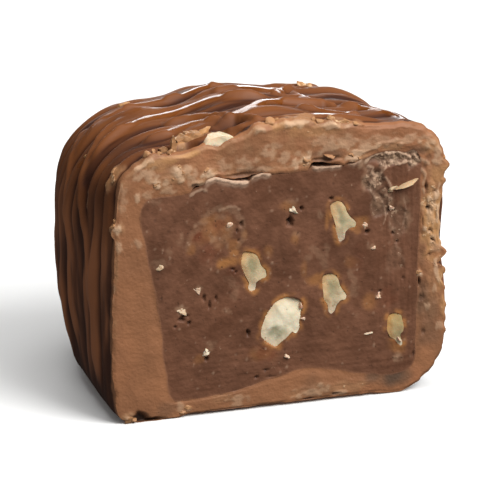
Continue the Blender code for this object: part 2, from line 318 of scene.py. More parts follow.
# Strings that leave the main row: points (round, reach) that they pass, half width and height.
STRAY_STRINGS = (
    (((-17.5, 7.4), (-14.0, 8.4), (-10.8, 9.2), (-8.2, 9.5), (-6.3, 9.7), (-4.6, 9.9), (-2.9, 9.8),
      (-0.5, 9.2), (2.5, 9.0)), 0.66, 0.85),
    (((-16.0, 12.4), (-13.0, 13.6), (-10.5, 14.0), (-8.4, 14.2), (-6.0, 14.4), (-4.2, 14.6), (-2.6, 15.0),
      (0.6, 15.4)), 0.62, 0.8),
    (((-7.4, 2.8), (-5.0, 3.8), (-3.4, 4.6), (-1.4, 5.6), (-0.2, 6.5), (2.0, 7.2), (5.0, 7.4),
      (8.0, 8.8)), 0.6, 0.8),
    (((-3.0, 11.8), (-0.6, 12.4), (1.2, 12.6), (2.8, 12.0), (4.8, 11.6)), 0.75, 0.7),
    (((2.6, 9.8), (3.4, 11.0), (4.4, 12.6), (6.6, 15.0)), 0.5, 0.7),
    (((5.0, 12.0), (5.6, 10.0), (6.2, 8.4), (7.6, 6.8)), 0.5, 0.6),
    (((2.2, 5.4), (4.4, 4.2), (6.0, 3.3), (7.6, 3.4)), 0.55, 0.7),
    (((7.4, 7.4), (9.2, 6.0), (10.2, 4.4), (10.7, 3.0), (10.6, 1.8), (10.4, 0.8)), 0.6, 0.75),
    (((-13.0, 4.2), (-9.6, 5.0), (-8.0, 5.3), (-6.6, 5.3), (-4.6, 4.4)), 0.6, 0.75),
    (((-9.6, 7.4), (-7.4, 7.4), (-6.0, 7.0), (-4.9, 5.8), (-4.0, 4.2), (-3.3, 2.6), (-2.9, 1.0)), 0.6, 0.7),
    (((-31.0, 4.4), (-24.0, 5.4), (-17.5, 8.2), (-12.5, 11.2), (-7.0, 12.0)), 0.6, 0.55),
    (((-34.0, 9.0), (-26.0, 8.4), (-19.0, 11.6), (-14.0, 15.6)), 0.55, 0.5),
    (((3.0, 16.0), (9.0, 17.4), (14.0, 20.4), (20.0, 22.0), (29.0, 22.4)), 0.6, 0.6),
    (((14.5, 7.4), (19.0, 10.4), (25.0, 12.4), (33.0, 12.0)), 0.6, 0.5),
    (((-22.0, 21.4), (-15.0, 19.2), (-8.0, 20.6), (0.0, 23.4), (7.0, 22.6)), 0.6, 0.5),
)


def main_string(number):
    """Reach of a string of the main row, at each distance round the section."""
    rest = STRING_FIRST + STRING_PITCH * number
    if number:
        rest += STRING_UNEVENNESS * math.sin(2.3 * number + 0.4)
    x = CUT_SECTION[:, 0]
    drift = STRING_SLANT * x / 32.0 + STRING_SWAY * np.sin(0.27 * x + 2.4 * number)
    wander = 0.35 * np.sin(0.21 * ROUND + 1.3 * number) + 0.22 * np.sin(0.47 * ROUND + 4.1 * number)
    near_cut = smoothstep(0.0, 7.0, rest - STRING_FIRST)
    near_middle = fall(0.82, 0.95, rest / FULL_REACH)
    return rest + (drift + wander) * near_cut * near_middle


def ridge(away, wide):
    return np.clip(1.0 - (away / wide) ** 2, 0.0, 1.0) ** 0.9


def main_row(reach):
    """Heights of the main row of strings, sharpened so that strings that meet melt together."""
    total = np.zeros((len(reach), AROUND))
    for number in range(STRING_COUNT):
        path = main_string(number)
        tall = STRING_TALL * (0.85 + 0.25 * math.sin(1.7 * number))
        uneven = 0.9 + 0.26 * np.sin(0.24 * ROUND + 2.0 * number) + 0.12 * np.sin(0.71 * ROUND + number)
        wide = STRING_WIDE * (1.0 + 0.2 * np.sin(0.19 * ROUND + 1.1 * number))
        away = np.abs(reach[:, None] - path[None]) / np.sqrt(1.0 + np.gradient(path, ROUND)[None] ** 2)
        total += (tall * uneven[None] * ridge(away, wide[None])) ** MERGE_SHARPNESS
    return total


def add_stray_strings(total, place):
    """Adds the strings that leave the main row, tapered at their ends."""
    for corners, wide, tall in STRAY_STRINGS:
        curve = smooth_curve(corners, STRING_STEPS)
        near = (place[..., 2] > curve[:, 1].min() - 1.0) & (place[..., 2] < curve[:, 1].max() + 1.0)
        away = np.linalg.norm(place[near][:, None, ::2] - curve[None], axis=-1)
        along = np.argmin(away, axis=1) / (len(curve) - 1)
        ends = smoothstep(0.0, 0.12, along) * fall(0.88, 1.0, along)
        total[near] += (tall * ends * ridge(away.min(axis=1), wide)) ** MERGE_SHARPNESS


def string_relief(reach):
    """Height of the melted strings over the smooth surface, for each reach and place round the section."""
    total = main_row(reach)
    place = np.stack(np.broadcast_arrays(ROUND[None], 0.0, reach[:, None]), axis=-1)
    at_top = fall(9.0, 17.0, np.abs(ROUND))[None]
    patchy = np.clip(0.75 + 0.7 * lumps(place * PATCH_STRETCH, 2.6, 40.0), 0.3, 1.15)
    total *= (1.0 + at_top * (patchy - 1.0)) ** MERGE_SHARPNESS
    add_stray_strings(total, place)
    relief = total ** (1.0 / MERGE_SHARPNESS)
    streaked = place * RELIEF_STRETCH
    relief += 0.09 * lumps(streaked, 0.62, 41.0) + 0.05 * lumps(streaked, 0.34, 42.0)
    shiny = strokes(place, SHINY_LENGTHS, 6.5, ragged=0.3, grain=1.2)
    relief -= shiny * FLATTENED * np.maximum(relief - FLAT_TOP, 0.0)
    shoulder = smoothstep(6.0, 9.0, ROUND)[None] * fall(16.0, 22.0, ROUND)[None]
    relief *= 1.0 - 0.7 * shoulder * fall(1.5, 4.5, reach)[:, None]
    lift = 11.0 * (1.0 - closing(np.interp(reach, REACH, REACH_SHARE)))[:, None]
    melted = smoothstep(0.6 + lift, 6.5 + lift, CUT_SECTION[None, :, 1])
    calmer = 1.0 - STRING_CALM * smoothstep(0.62, 0.8, reach / FULL_REACH)[:, None]
    return relief * melted * calmer


# Freshly set, mirror-smooth lengths of string: points (round, reach), half width, strength.
SHINY_LENGTHS = (
    (((-15.6, 8.6), (-13.6, 9.0), (-11.2, 9.2)), 0.3, 0.75),
    (((-16.2, 12.3), (-13.2, 13.4), (-10.9, 13.9)), 0.3, 0.7),
    (((-14.8, 6.2), (-12.6, 6.6), (-10.2, 6.9)), 0.28, 0.6),
    (((-12.0, 11.3), (-9.6, 11.7), (-7.2, 11.9)), 0.28, 0.6),
    (((-11.0, 9.2), (-8.2, 9.5), (-6.3, 9.7), (-4.6, 9.9), (-2.6, 9.8)), 0.75, 1.0),
    (((-9.4, 14.1), (-7.0, 14.3)), 0.6, 0.6), (((-4.6, 14.5), (-2.4, 15.0)), 0.7, 1.0),
    (((-3.6, 4.5), (-1.4, 5.6), (-0.2, 6.5), (1.6, 7.1)), 0.7, 1.0), (((0.6, 12.6), (2.6, 12.1)), 0.8, 1.0),
    (((3.2, 10.6), (4.6, 12.8)), 0.5, 0.8), (((5.5, 10.4), (6.1, 8.6)), 0.5, 0.8),
    (((4.2, 4.3), (6.0, 3.3)), 0.55, 0.9), (((9.4, 5.8), (10.2, 4.4), (10.7, 3.0), (10.6, 1.8)), 0.75, 1.0),
    (((-9.6, 5.0), (-8.0, 5.3), (-6.6, 5.3)), 0.55, 0.75), (((-6.4, 7.1), (-5.2, 6.2)), 0.5, 0.5),
    (((1.6, 1.0), (2.8, 1.8), (3.6, 1.7)), 0.5, 0.9), (((-17.3, 9.8), (-16.7, 9.6)), 0.4, 1.0),
)

# Hollows and worn places of the outside: round, reach, half length, half reach, depth or strength. The
# hollows are also painted with shade.
RIM_HOLLOWS = (
    (-9.9, 1.0, 1.3, 0.65, 1.0), (-12.2, 1.2, 1.3, 0.6, 0.8), (-6.4, 1.2, 1.7, 0.95, 0.8),
    (-5.4, 2.9, 1.5, 1.3, 0.28), (-13.6, 0.8, 0.9, 0.4, 0.35),
)
SCUFFS = (
    (0.6, 0.5, 2.6, 1.2, 0.9), (-3.0, 0.2, 1.0, 0.7, 0.7), (4.6, 0.3, 1.8, 0.7, 0.7),
    (-8.4, 2.6, 1.7, 0.8, 1.0), (-10.2, 1.7, 0.7, 0.6, 0.8), (-17.0, 1.5, 1.6, 0.9, 0.8),
    (-19.4, 5.6, 1.4, 0.22, 0.9), (-21.4, 0.2, 0.9, 0.6, 0.8),
)

# Painted shade: places of the skin that are darker: round, reach, half length, half reach, strength.
SKIN_SHADES = (
    (-23.0, 20.6, 3.0, 3.0, 0.45), (-20.6, 15.6, 2.4, 3.4, 0.3), (-14.0, 3.6, 4.6, 4.6, 0.75),
    (-19.0, 5.0, 3.2, 4.6, 0.6), (-5.6, 3.2, 1.8, 1.8, 0.9), (-8.6, 2.4, 1.4, 1.2, 0.8),
    (-11.0, 12.0, 3.0, 2.0, 0.3),
)
GOLDEN_SCUFFS = (
    (-8.4, 2.6, 1.8, 0.9, 1.0),
    (-10.2, 1.7, 0.8, 0.7, 0.8),
    (-17.0, 1.5, 1.6, 0.9, 0.4),
)


# ---------------------------------------------------------------- meshes


def clear_selection():
    if bpy.context.object and bpy.context.object.mode != "OBJECT":
        bpy.ops.object.mode_set(mode="OBJECT")
    bpy.ops.object.select_all(action="DESELECT")


def take_up(thing):
    """Makes this the one selected and active object."""
    clear_selection()
    thing.select_set(True)
    bpy.context.view_layer.objects.active = thing


def add_sheet(name, columns, rows):
    """A flat sheet of columns by rows squares, ready to be wrapped over a form."""
    clear_selection()
    bpy.ops.mesh.primitive_grid_add(x_subdivisions=columns, y_subdivisions=rows, size=2.0)
    sheet = bpy.context.object
    sheet.name = name
    sheet.data.name = name
    return sheet


def place_vertices(thing, points):
    """Moves each vertex to its point, given in millimetres before the sideways shift."""
    flat = np.asarray(points, float).reshape(-1, 3) + SHIFT
    thing.data.vertices.foreach_set("co", (flat * MM).ravel())
    thing.data.update()


def vertex_places(thing):
    """Points of a mesh in millimetres before the sideways shift."""
    flat = np.zeros(len(thing.data.vertices) * 3)
    thing.data.vertices.foreach_get("co", flat)
    return flat.reshape(-1, 3) / MM - SHIFT


def add_mask(thing, name, values):
    mask = thing.data.attributes.new(name, "FLOAT", "POINT")
    mask.data.foreach_set("value", np.asarray(values, float).ravel())


def add_even_masks(thing, names, values):
    """Masks that are the same all over a small piece, and 0 where no value is given."""
    for name in names:
        add_mask(thing, name, np.full(len(thing.data.vertices), values.get(name, 0.0)))


def start_edit(thing):
    """Opens a piece for editing, with nothing selected and edges to be selected."""
    take_up(thing)
    bpy.ops.object.mode_set(mode="EDIT")
    bpy.ops.mesh.select_mode(type="EDGE")
    bpy.ops.mesh.select_all(action="DESELECT")


def end_edit():
    """Turns all faces outwards and closes the edit."""
    bpy.ops.mesh.select_all(action="SELECT")
    bpy.ops.mesh.normals_make_consistent(inside=False)
    bpy.ops.object.mode_set(mode="OBJECT")


def merge_and_close(thing):
    """Joins the edges that meet after wrapping, and turns all faces outwards."""
    start_edit(thing)
    bpy.ops.mesh.select_all(action="SELECT")
    bpy.ops.mesh.remove_doubles(threshold=MERGE_DISTANCE)
    end_edit()


def shade(thing, angle):
    take_up(thing)
    bpy.ops.object.shade_smooth_by_angle(angle=math.radians(angle))
    clear_selection()


# ---------------------------------------------------------------- coating


def moved_outwards(section, distance):
    along = np.roll(section, -1, axis=0) - np.roll(section, 1, axis=0)
    outward = np.stack([along[:, 1], -along[:, 0]], axis=1)
    outward = outward / np.linalg.norm(outward, axis=1, keepdims=True)
    return section + np.reshape(distance, (-1, 1)) * outward


# Height of the fudge's top edge at the cut: x, z.
FUDGE_TOP = (
    (-12.0, 20.7), (-10.0, 20.8), (-8.6, 20.9), (-7.6, 21.3), (-6.9, 21.9), (-6.2, 22.1), (-5.3, 21.85),
    (-4.5, 21.6), (-3.5, 21.45), (-3.0, 21.4), (-2.6, 21.75), (-1.8, 22.0), (-1.0, 21.9), (0.6, 21.85),
    (2.4, 21.9), (3.0, 22.15), (4.2, 22.05), (5.4, 22.05), (6.6, 22.1), (7.6, 22.5), (8.6, 22.9),
    (9.6, 23.15), (10.6, 23.05), (11.6, 22.85), (12.3, 23.05),
)


def fudge_outline(count):
    """Outline of the fudge at the cut, a little uneven, with the ragged top edge that the cut left."""
    section = outline(FUDGE_CORNERS, FUDGE_RADII, FUDGE_BOWS, count)
    top_x, top_z = np.array(FUDGE_TOP).T
    at_top = smoothstep(19.0, 20.2, section[:, 1]) * smoothstep(-12.9, -11.6, section[:, 0])
    at_top *= fall(11.8, 12.8, section[:, 0])
    section[:, 1] += at_top * (np.interp(section[:, 0], top_x, top_z) - section[:, 1])
    foot = fall(2.0, 9.0, section[:, 1])
    hump = np.exp(-(((section[:, 0] - FUDGE_FOOT_SHIFT) / 5.5) ** 2))
    section[:, 1] += FUDGE_FOOT_RISE * foot * hump
    places = standing(section, 0.0)
    uneven = 0.13 * lumps(places, 2.1, 31.0) + 0.06 * lumps(places, 0.8, 32.0)
    return moved_outwards(section, uneven)


# Chips and lumps along the outer edge of the cut: which side, place along it, half length, outwards.
EDGE_LUMPS = (
    ("right", 21.1, 0.75, 0.5), ("right", 19.7, 0.35, 0.3), ("right", 17.0, 3.4, -0.34),
    ("right", 13.0, 0.6, 0.52), ("right", 12.0, 0.5, -0.62), ("right", 11.4, 0.3, 0.2),
    ("right", 10.4, 0.3, -0.14), ("right", 4.2, 0.5, -0.14), ("left", 18.0, 0.9, 0.34),
    ("left", 2.3, 2.2, -0.34), ("left", 22.4, 1.2, 0.16), ("top", -2.2, 0.8, 0.42),
    ("top", -3.9, 0.9, -0.3), ("top", 0.9, 2.0, 0.25), ("top", 3.3, 0.6, -0.16), ("top", 4.6, 0.9, 0.2),
    ("top", -5.7, 1.5, -0.5), ("top", -8.6, 1.6, -0.22), ("top", -11.8, 1.2, 0.26),
)


FOOT_LIFT = 0.3


def rim_outer_edge():
    """Outer edge of the cut through the coating, chipped and worn back where the knife broke it."""
    first = body_surface(np.array([0.0, 0.3]))
    edge, outward = first[0], surface_normals(first)[0]
    x, z = edge[:, 0], edge[:, 2]
    sides = {
        "right": (z, smoothstep(8.0, 14.0, x)),
        "left": (z, smoothstep(-8.0, -14.0, x)),
        "top": (x, smoothstep(21.0, 23.5, z)),
    }
    amount = 0.06 + 0.16 * sides["right"][1] + 0.16 * sides["top"][1] * fall(6.0, 9.0, x)
    offset = amount * (lumps(edge, 0.9, 1.0) + 0.6 * lumps(edge, 2.6, 2.0)) - 0.05
    offset += (0.12 * sides["right"][1] + 0.05 * sides["left"][1]) * crags(edge, 0.6, 3.0)
    for name, centre, half, size in EDGE_LUMPS:
        along, there = sides[name]
        offset += size * bump_at(along, centre, half) * there
    offset *= smoothstep(0.0, 1.5, z)
    edge = edge + outward * offset[:, None]
    edge[:, 2] += FOOT_LIFT * smoothstep(-9.7, -8.9, x) * fall(8.0, 12.0, x) * (z < 3.0)
    worn_back = 0.05 + 0.12 * np.clip(lumps(edge, 0.8, 14.0) + 0.4, 0.0, 1.0)
    crumbling = sides["top"][1] + sides["right"][1]
    worn_back += 0.14 * crumbling * np.clip(lumps(edge, 1.3, 15.0) + 0.5, 0.0, 1.0)
    return edge, worn_back


def crack_opening(x, z):
    """How far the coating has parted from the fudge along its top, in millimetres."""
    left = bump_at(x, -3.8, 2.7) * (0.2 + 0.07 * np.sin(2.9 * x + 0.6) + 0.05 * np.sin(6.1 * x))
    left += 0.3 * bump_at(x, -3.1, 0.7)
    right = 0.4 * smoothstep(2.5, 2.8, x) * fall(2.9, 4.6, x) ** 0.7
    right += 0.3 * bump_at(x, 4.3, 1.5)
    far = 0.14 * bump_at(x, 6.5, 0.7) + 0.2 * bump_at(x, -7.9, 0.5)
    return np.clip(left + right + far, 0.0, 1.0) * smoothstep(18.0, 20.0, z)


def coating_outside():
    """The outside of the coating: its points, their directions, and what its masks follow."""
    reach = reach_rows()
    smooth = body_surface(reach)
    strings = string_relief(reach)
    wrapped = np.zeros((len(reach), AROUND, 3))
    wrapped[..., 0], wrapped[..., 2] = ROUND[None], reach[:, None]
    uneven = 0.1 * lumps(smooth, 5.0, 3.0) + 0.04 * lumps(smooth, 1.7, 4.0)
    hollows = spots(wrapped, RIM_HOLLOWS, 5.0)
    scuffs = spots(wrapped, SCUFFS, 6.0, ragged=0.7, grain=0.7)
    relief = (strings + uneven) * smoothstep(0.0, 1.2, reach)[:, None] - hollows
    relief += scuffs * (0.1 + 0.2 * lumps(smooth, 0.55, 7.0))
    relief += 0.16 * bump_at(reach, 0.5, 0.6)[:, None] * smoothstep(20.0, 23.0, smooth[..., 2])
    outside = smooth + surface_normals(smooth) * relief[..., None]
    outer_edge, worn_back = rim_outer_edge()
    near_edge = fall(0.0, 1.4, reach)[:, None, None]
    outside += (outer_edge - smooth[0])[None] * near_edge
    outside[..., 1] += worn_back[None] * near_edge[..., 0]
    outside[..., 2] = np.maximum(outside[..., 2], 0.0)
    return {"reach": reach, "points": outside, "normals": surface_normals(outside), "wrapped": wrapped,
            "strings": strings, "hollows": hollows, "scuffs": scuffs, "edge": outer_edge,
            "worn_back": worn_back}


CHOCOLATE_MASKS = ("cut", "crumbly", "golden", "pale", "blush", "shade", "hollow_painted_shade", "smear", "ridge", "shiny",
                   "low_matte_and_painted_sheen")
# The wall of the hollow for the fudge is painted with shade.
CAVITY_MASKS = {"cut": 1.0, "hollow_painted_shade": 0.8, "smear": 1.0}
LAP_OVER_FUDGE = 0.12
CAVITY_GAP = 0.1


def cavity_rows(opening):
    """Rings that line the hollow for the fudge, from the cut to its rounded end."""
    ring = moved_outwards(opening, CAVITY_GAP)
    middle = ring.mean(axis=0)
    rows = []
    for number in range(1, CAVITY_ROWS + 1):
        depth = (FUDGE_DEPTH + CAVITY_GAP) * math.sin(0.5 * math.pi * number / CAVITY_ROWS) ** 1.6
        taper = 1.0 - FUDGE_TAPER * depth / FUDGE_DEPTH
        size = float(closing(depth / (FUDGE_DEPTH + 1.2 * CAVITY_GAP))) * taper
        rows.append(standing(middle + (ring - middle) * size, CUT_Y + depth))
    return np.array(rows)


def outside_masks(out):
    """Masks of the skin, in rows from the cut to the back."""
    reach, wrapped, scuffs = out["reach"], out["wrapped"], out["scuffs"]
    bared = 0.35 + 0.3 * lumps(wrapped, 1.5, 12.0) + 0.25 * smoothstep(8.0, 14.0, ROUND)[None]
    worn = np.maximum(scuffs, fall(0.0, 0.3, reach[:, None] - bared))
    worn[0] = 1.0
    streaked = wrapped * COLOUR_STRETCH
    streaks = 0.3 * lumps(streaked, 0.7, 43.0) + 0.3 * lumps(streaked, 0.4, 44.0)
    height = out["points"][..., 2] + 2.0 * lumps(out["points"], 3.0, 7.7)
    return {
        "cut": worn,
        "crumbly": 0.8 * scuffs,
        "golden": spots(wrapped, GOLDEN_SCUFFS, 8.6, ragged=0.6),
        # Painted shade on darker places of the skin.
        "shade": spots(wrapped, SKIN_SHADES, 7.5, grain=2.0, soft=0.9),
        # Painted shade in the hollows.
        "hollow_painted_shade": np.clip(out["hollows"], 0.0, 1.0),
        # Height of the strings plus fine colour streaks; from it the skin is painted with shade in its
        # grooves and light on its crests.
        "ridge": np.clip(out["strings"] / STRING_TALL + streaks, 0.0, 1.0),
        "shiny": strokes(wrapped, SHINY_LENGTHS, 6.5, ragged=0.5, grain=1.2),
        # Lower skin, all round: more matte, and painted with duller, sheen-like tones with stronger painted
        # shade in grooves and light on crests.
        "low_matte_and_painted_sheen": 1.0 - 0.9 * smoothstep(14.0, 21.0, height),
    }


def rim_marks(points):
    """Pale patches, pale strokes and dark hollows of the cut rim, for its relief and its colour; the
    hollows' dark colour is painted shade.
    """
    return (spots(points, PALE_PATCHES, 8.8, ragged=0.9, grain=0.45, soft=0.55),
            strokes(points, PALE_STROKES, 8.9), spots(points, SHADED_DENTS, 9.0, soft=0.7))


def rim_masks(points, to_fudge, to_outside, parted, marks):
    """Masks of the cut rim, in rows from its outer edge to the fudge."""
    patches, pale_strokes, shaded_dents = marks
    smear_width = np.maximum(0.2 + 0.16 * lumps(points, 1.2, 10.0), 0.08)
    return {
        "cut": np.ones(points.shape[:2]),
        "crumbly": rim_crumble(points, to_outside),
        "golden": spots(points, GOLDEN_PLACES, 8.5, ragged=0.4, grain=0.9, soft=0.6),
        "pale": np.maximum(patches, pale_strokes),
        "blush": spots(points, BLUSHES, 8.0, soft=0.8),
        "shade": spots(points, SHADES, 8.7, ragged=0.4, grain=1.2, soft=0.8),
        # Painted shade in the dents.
        "hollow_painted_shade": shaded_dents,
        "smear": 0.8 * fall(0.0, 1.0, to_fudge / smear_width) * fall(0.0, 0.1, parted)[None],
    }


def make_coating(out):
    """The coating as one closed sheet: outside, rim and the wall of the cavity."""
    opening = fudge_outline(AROUND)
    parted = crack_opening(opening[:, 0], opening[:, 1])
    inner = moved_outwards(opening, -LAP_OVER_FUDGE * fall(0.0, 0.1, parted))
    inner[:, 1] += parted
    inner_edge = standing(inner, CUT_Y)
    share = np.linspace(0.0, 1.0, RIM_ROWS + 1)[1:, None, None]
    flat_rim = out["edge"][None] * (1.0 - share) + inner_edge[None] * share
    to_fudge = np.linalg.norm(flat_rim - inner_edge[None], axis=-1)
    to_outside = np.linalg.norm(flat_rim - out["edge"][None], axis=-1)
    marks = rim_marks(flat_rim)
    rim = flat_rim.copy()
    rim[..., 1] += rim_relief(flat_rim, to_fudge, to_outside, marks)
    rim[..., 1] += out["worn_back"][None] * fall(0.0, 0.4, to_outside) ** 1.5
    rim[..., 2] = np.maximum(rim[..., 2], 0.0)
    grid = np.concatenate([out["points"][::-1], rim, cavity_rows(opening)])
    for end in (0, -1):
        grid[end] = grid[end].mean(axis=0)

    skin, face = outside_masks(out), rim_masks(flat_rim, to_fudge, to_outside, parted, marks)
    plain = np.zeros((len(out["reach"]), AROUND))
    skin["blush"] = plain.copy()
    skin["blush"][:BLUSHED_ROWS] = face["blush"][0]
    coating = add_sheet("coating_skin", AROUND, len(grid) - 1)
    place_vertices(coating, closed_round(grid))
    for name in CHOCOLATE_MASKS:
        cavity = np.full((CAVITY_ROWS, AROUND), CAVITY_MASKS.get(name, 0.0))
        rows = (skin.get(name, plain)[::-1], face.get(name, plain[:RIM_ROWS]), cavity)
        add_mask(coating, name, closed_round(np.concatenate(rows)))
    merge_and_close(coating)
    shade(coating, 70.0)
    return coating


# Reddish and dark places of the cut rim: x, z, half width, half height, strength.
BLUSHES = (
    (9.6, 25.2, 4.2, 1.5, 0.7), (-6.8, 24.2, 0.9, 0.6, 0.7), (12.9, 23.9, 1.8, 1.4, 0.5),
    (15.0, 13.0, 1.2, 1.6, 0.7), (12.9, 1.4, 0.9, 1.6, 1.0), (9.0, 0.6, 2.6, 0.8, 0.5),
    (3.0, 24.0, 3.0, 0.8, 0.35), (-14.6, 6.0, 1.6, 4.0, 0.25),
)
GOLDEN_PLACES = (
    (-9.0, 24.5, 1.6, 0.6, 0.45), (-11.2, 23.6, 1.8, 0.8, 0.35), (3.0, 25.4, 3.6, 0.7, 0.35),
    (14.3, 14.6, 0.8, 1.6, 0.6), (14.6, 15.6, 1.6, 5.0, 1.0), (14.9, 20.3, 1.1, 1.2, 0.6),
    (15.3, 10.6, 0.7, 1.6, 0.8), (15.6, 8.0, 0.5, 1.6, 0.6), (14.0, 23.2, 1.4, 0.8, 0.45),
    (0.9, 26.2, 2.2, 0.7, 0.7), (-8.8, 24.4, 1.9, 0.45, 0.9), (-10.4, 24.0, 1.2, 0.5, 0.7),
    (-11.9, 23.8, 1.4, 0.6, 0.5),
)
# Pale patches and strokes of fat bloom and crumb.
PALE_PATCHES = (
    (14.0, 18.2, 0.35, 0.35, 0.9), (14.75, 18.3, 0.3, 0.5, 0.9), (14.8, 16.6, 0.25, 0.9, 0.9),
    (14.1, 17.0, 0.3, 0.2, 0.8), (13.75, 15.4, 0.3, 0.25, 0.9), (14.0, 15.0, 0.2, 0.2, 0.8),
    (14.2, 14.6, 0.2, 0.2, 0.7), (14.3, 14.05, 0.2, 0.14, 0.9), (13.5, 18.9, 0.2, 0.4, 0.6),
    (15.0, 19.4, 0.25, 0.3, 0.6), (15.3, 12.4, 0.3, 0.4, 0.6), (-9.5, 22.8, 0.5, 0.6, 1.0),
    (-9.2, 22.2, 0.5, 0.4, 0.8), (-8.4, 22.2, 0.8, 0.6, 0.5), (-11.4, 21.8, 0.4, 0.5, 1.0),
    (-10.7, 21.9, 0.5, 0.5, 0.6), (-13.0, 23.7, 0.9, 0.4, 0.8), (-13.1, 20.7, 0.5, 0.5, 0.7),
    (-12.3, 20.9, 0.9, 0.5, 0.4), (-10.4, 21.4, 0.8, 0.6, 0.4), (-6.75, 22.35, 0.7, 0.5, 1.0),
    (-7.6, 21.6, 0.7, 0.5, 0.5), (-12.4, 22.8, 0.7, 0.8, 0.6), (-11.5, 22.7, 0.6, 0.35, 0.5),
    (-10.2, 23.0, 0.5, 0.5, 0.4), (-8.7, 22.9, 0.5, 0.6, 0.55), (-7.9, 22.5, 0.4, 0.5, 0.5),
    (-5.4, 22.9, 0.5, 0.7, 0.35), (0.2, 23.2, 0.6, 0.8, 0.45), (-0.6, 24.4, 0.5, 0.5, 0.3),
    (-13.4, 23.8, 0.7, 0.35, 0.6), (-12.2, 24.1, 0.6, 0.3, 0.6), (-1.2, 23.8, 0.9, 0.7, 0.45),
    (-1.4, 22.4, 1.4, 0.3, 0.4), (2.45, 22.9, 0.4, 0.7, 0.9), (1.4, 22.6, 0.7, 0.5, 0.7),
    (1.6, 23.6, 0.5, 0.4, 0.4), (6.9, 22.8, 1.0, 0.8, 0.8), (9.2, 24.0, 2.4, 0.6, 0.3),
    (12.2, 23.9, 2.0, 0.5, 0.4), (13.9, 23.4, 1.0, 0.6, 0.7), (14.7, 22.3, 0.6, 1.0, 0.6),
    (4.6, 23.8, 1.6, 0.6, 0.5), (-3.5, 23.0, 1.4, 0.7, 0.4), (-12.5, 22.9, 1.2, 0.7, 0.5),
    (-14.6, 20.6, 0.5, 1.6, 0.3), (3.0, 1.1, 1.8, 0.5, 0.4), (-4.0, 1.1, 1.0, 0.5, 0.4),
    (7.7, 23.3, 0.7, 0.6, 0.4), (6.2, 24.2, 1.2, 0.7, 0.35), (4.0, 24.4, 1.4, 0.7, 0.3),
    (8.4, 23.4, 1.2, 0.4, 0.6), (-13.2, 16.6, 0.5, 0.5, 0.4), (-15.1, 18.0, 0.35, 0.6, 0.9),
    (-14.9, 16.4, 0.3, 0.9, 0.5), (1.6, 26.3, 2.0, 0.4, 0.8), (5.0, 25.8, 1.6, 0.4, 0.6),
    (-2.2, 26.0, 0.8, 0.4, 0.6), (14.3, 17.0, 0.5, 1.6, 0.5), (14.5, 13.9, 0.6, 1.0, 0.4),
    (15.1, 15.4, 0.3, 2.6, 0.5), (13.2, 11.2, 0.4, 0.3, 0.8), (13.9, 8.0, 0.3, 0.5, 0.4),
    (14.6, 9.6, 0.3, 0.6, 0.4), (15.2, 6.0, 0.4, 0.5, 0.4), (-14.2, 0.5, 0.5, 0.4, 0.5),
    (-9.4, 1.1, 0.4, 0.5, 0.5), (-8.6, 0.7, 0.4, 0.3, 0.5), (1.6, 0.8, 0.6, 0.3, 0.5),
    (3.8, 1.6, 0.5, 0.3, 0.4), (5.6, 0.6, 1.0, 0.25, 0.5),
)
PALE_STROKES = (
    (((12.4, 22.3), (13.2, 21.9), (13.9, 21.5)), 0.16, 0.6),
    (((13.2, 21.0), (13.6, 20.4), (13.4, 19.6)), 0.16, 0.5),
    (((14.7, 12.4), (14.8, 11.2), (15.1, 10.4)), 0.22, 0.7),
    (((-14.6, 22.2), (-15.1, 20.6), (-15.3, 18.6)), 0.12, 0.4),
    (((-15.4, 13.0), (-15.7, 10.0), (-15.7, 6.0)), 0.1, 0.4),
)
SHADES = (
    (14.4, 6.0, 2.2, 3.8, 0.5), (13.4, 9.0, 1.0, 2.6, 0.6), (13.4, 12.8, 0.6, 2.0, 0.35),
    (10.9, 1.75, 2.4, 1.3, 1.0), (9.0, 1.9, 1.6, 0.9, 0.7), (-10.6, 1.1, 1.4, 1.0, 0.35),
    (4.4, 23.2, 2.0, 0.6, 0.55), (-2.6, 22.4, 2.0, 0.5, 0.45), (12.8, 22.9, 1.9, 0.7, 0.6),
    (3.2, 1.6, 2.6, 1.4, 0.3),
)
# Dents of the cut rim, painted with shade: x, z, half width, half height, strength.
SHADED_DENTS = (
    (13.7, 19.3, 0.16, 0.34, 0.55), (14.2, 15.2, 0.36, 0.12, 0.45), (14.35, 14.25, 0.34, 0.16, 0.6),
    (14.5, 18.8, 0.3, 0.1, 0.35), (13.4, 16.0, 0.12, 0.5, 0.3), (13.9, 12.9, 0.6, 0.12, 0.4),
    (-13.2, 0.35, 0.9, 0.8, 1.0), (-12.1, 0.0, 1.3, 0.5, 0.9), (4.1, 22.75, 1.5, 0.35, 0.5),
    (-3.4, 22.0, 2.4, 0.3, 0.4), (13.05, 10.45, 0.32, 0.5, 1.0), (13.9, 17.35, 0.34, 0.3, 0.9),
    (14.2, 17.05, 0.2, 0.14, 0.5), (-8.0, 21.4, 0.5, 0.3, 0.6), (13.3, 22.6, 0.8, 0.4, 0.4),
    (13.9, 22.1, 0.4, 0.5, 0.35), (13.5, 21.3, 0.3, 0.6, 0.4), (-8.8, 0.05, 1.0, 0.22, 0.7),
    (-5.0, 0.3, 3.2, 0.1, 0.4), (2.6, 0.35, 0.6, 0.2, 0.6), (5.2, 0.6, 0.5, 0.2, 0.5),
    (13.4, 8.9, 0.4, 0.4, 0.35), (13.6, 5.6, 0.3, 0.3, 0.3),
)
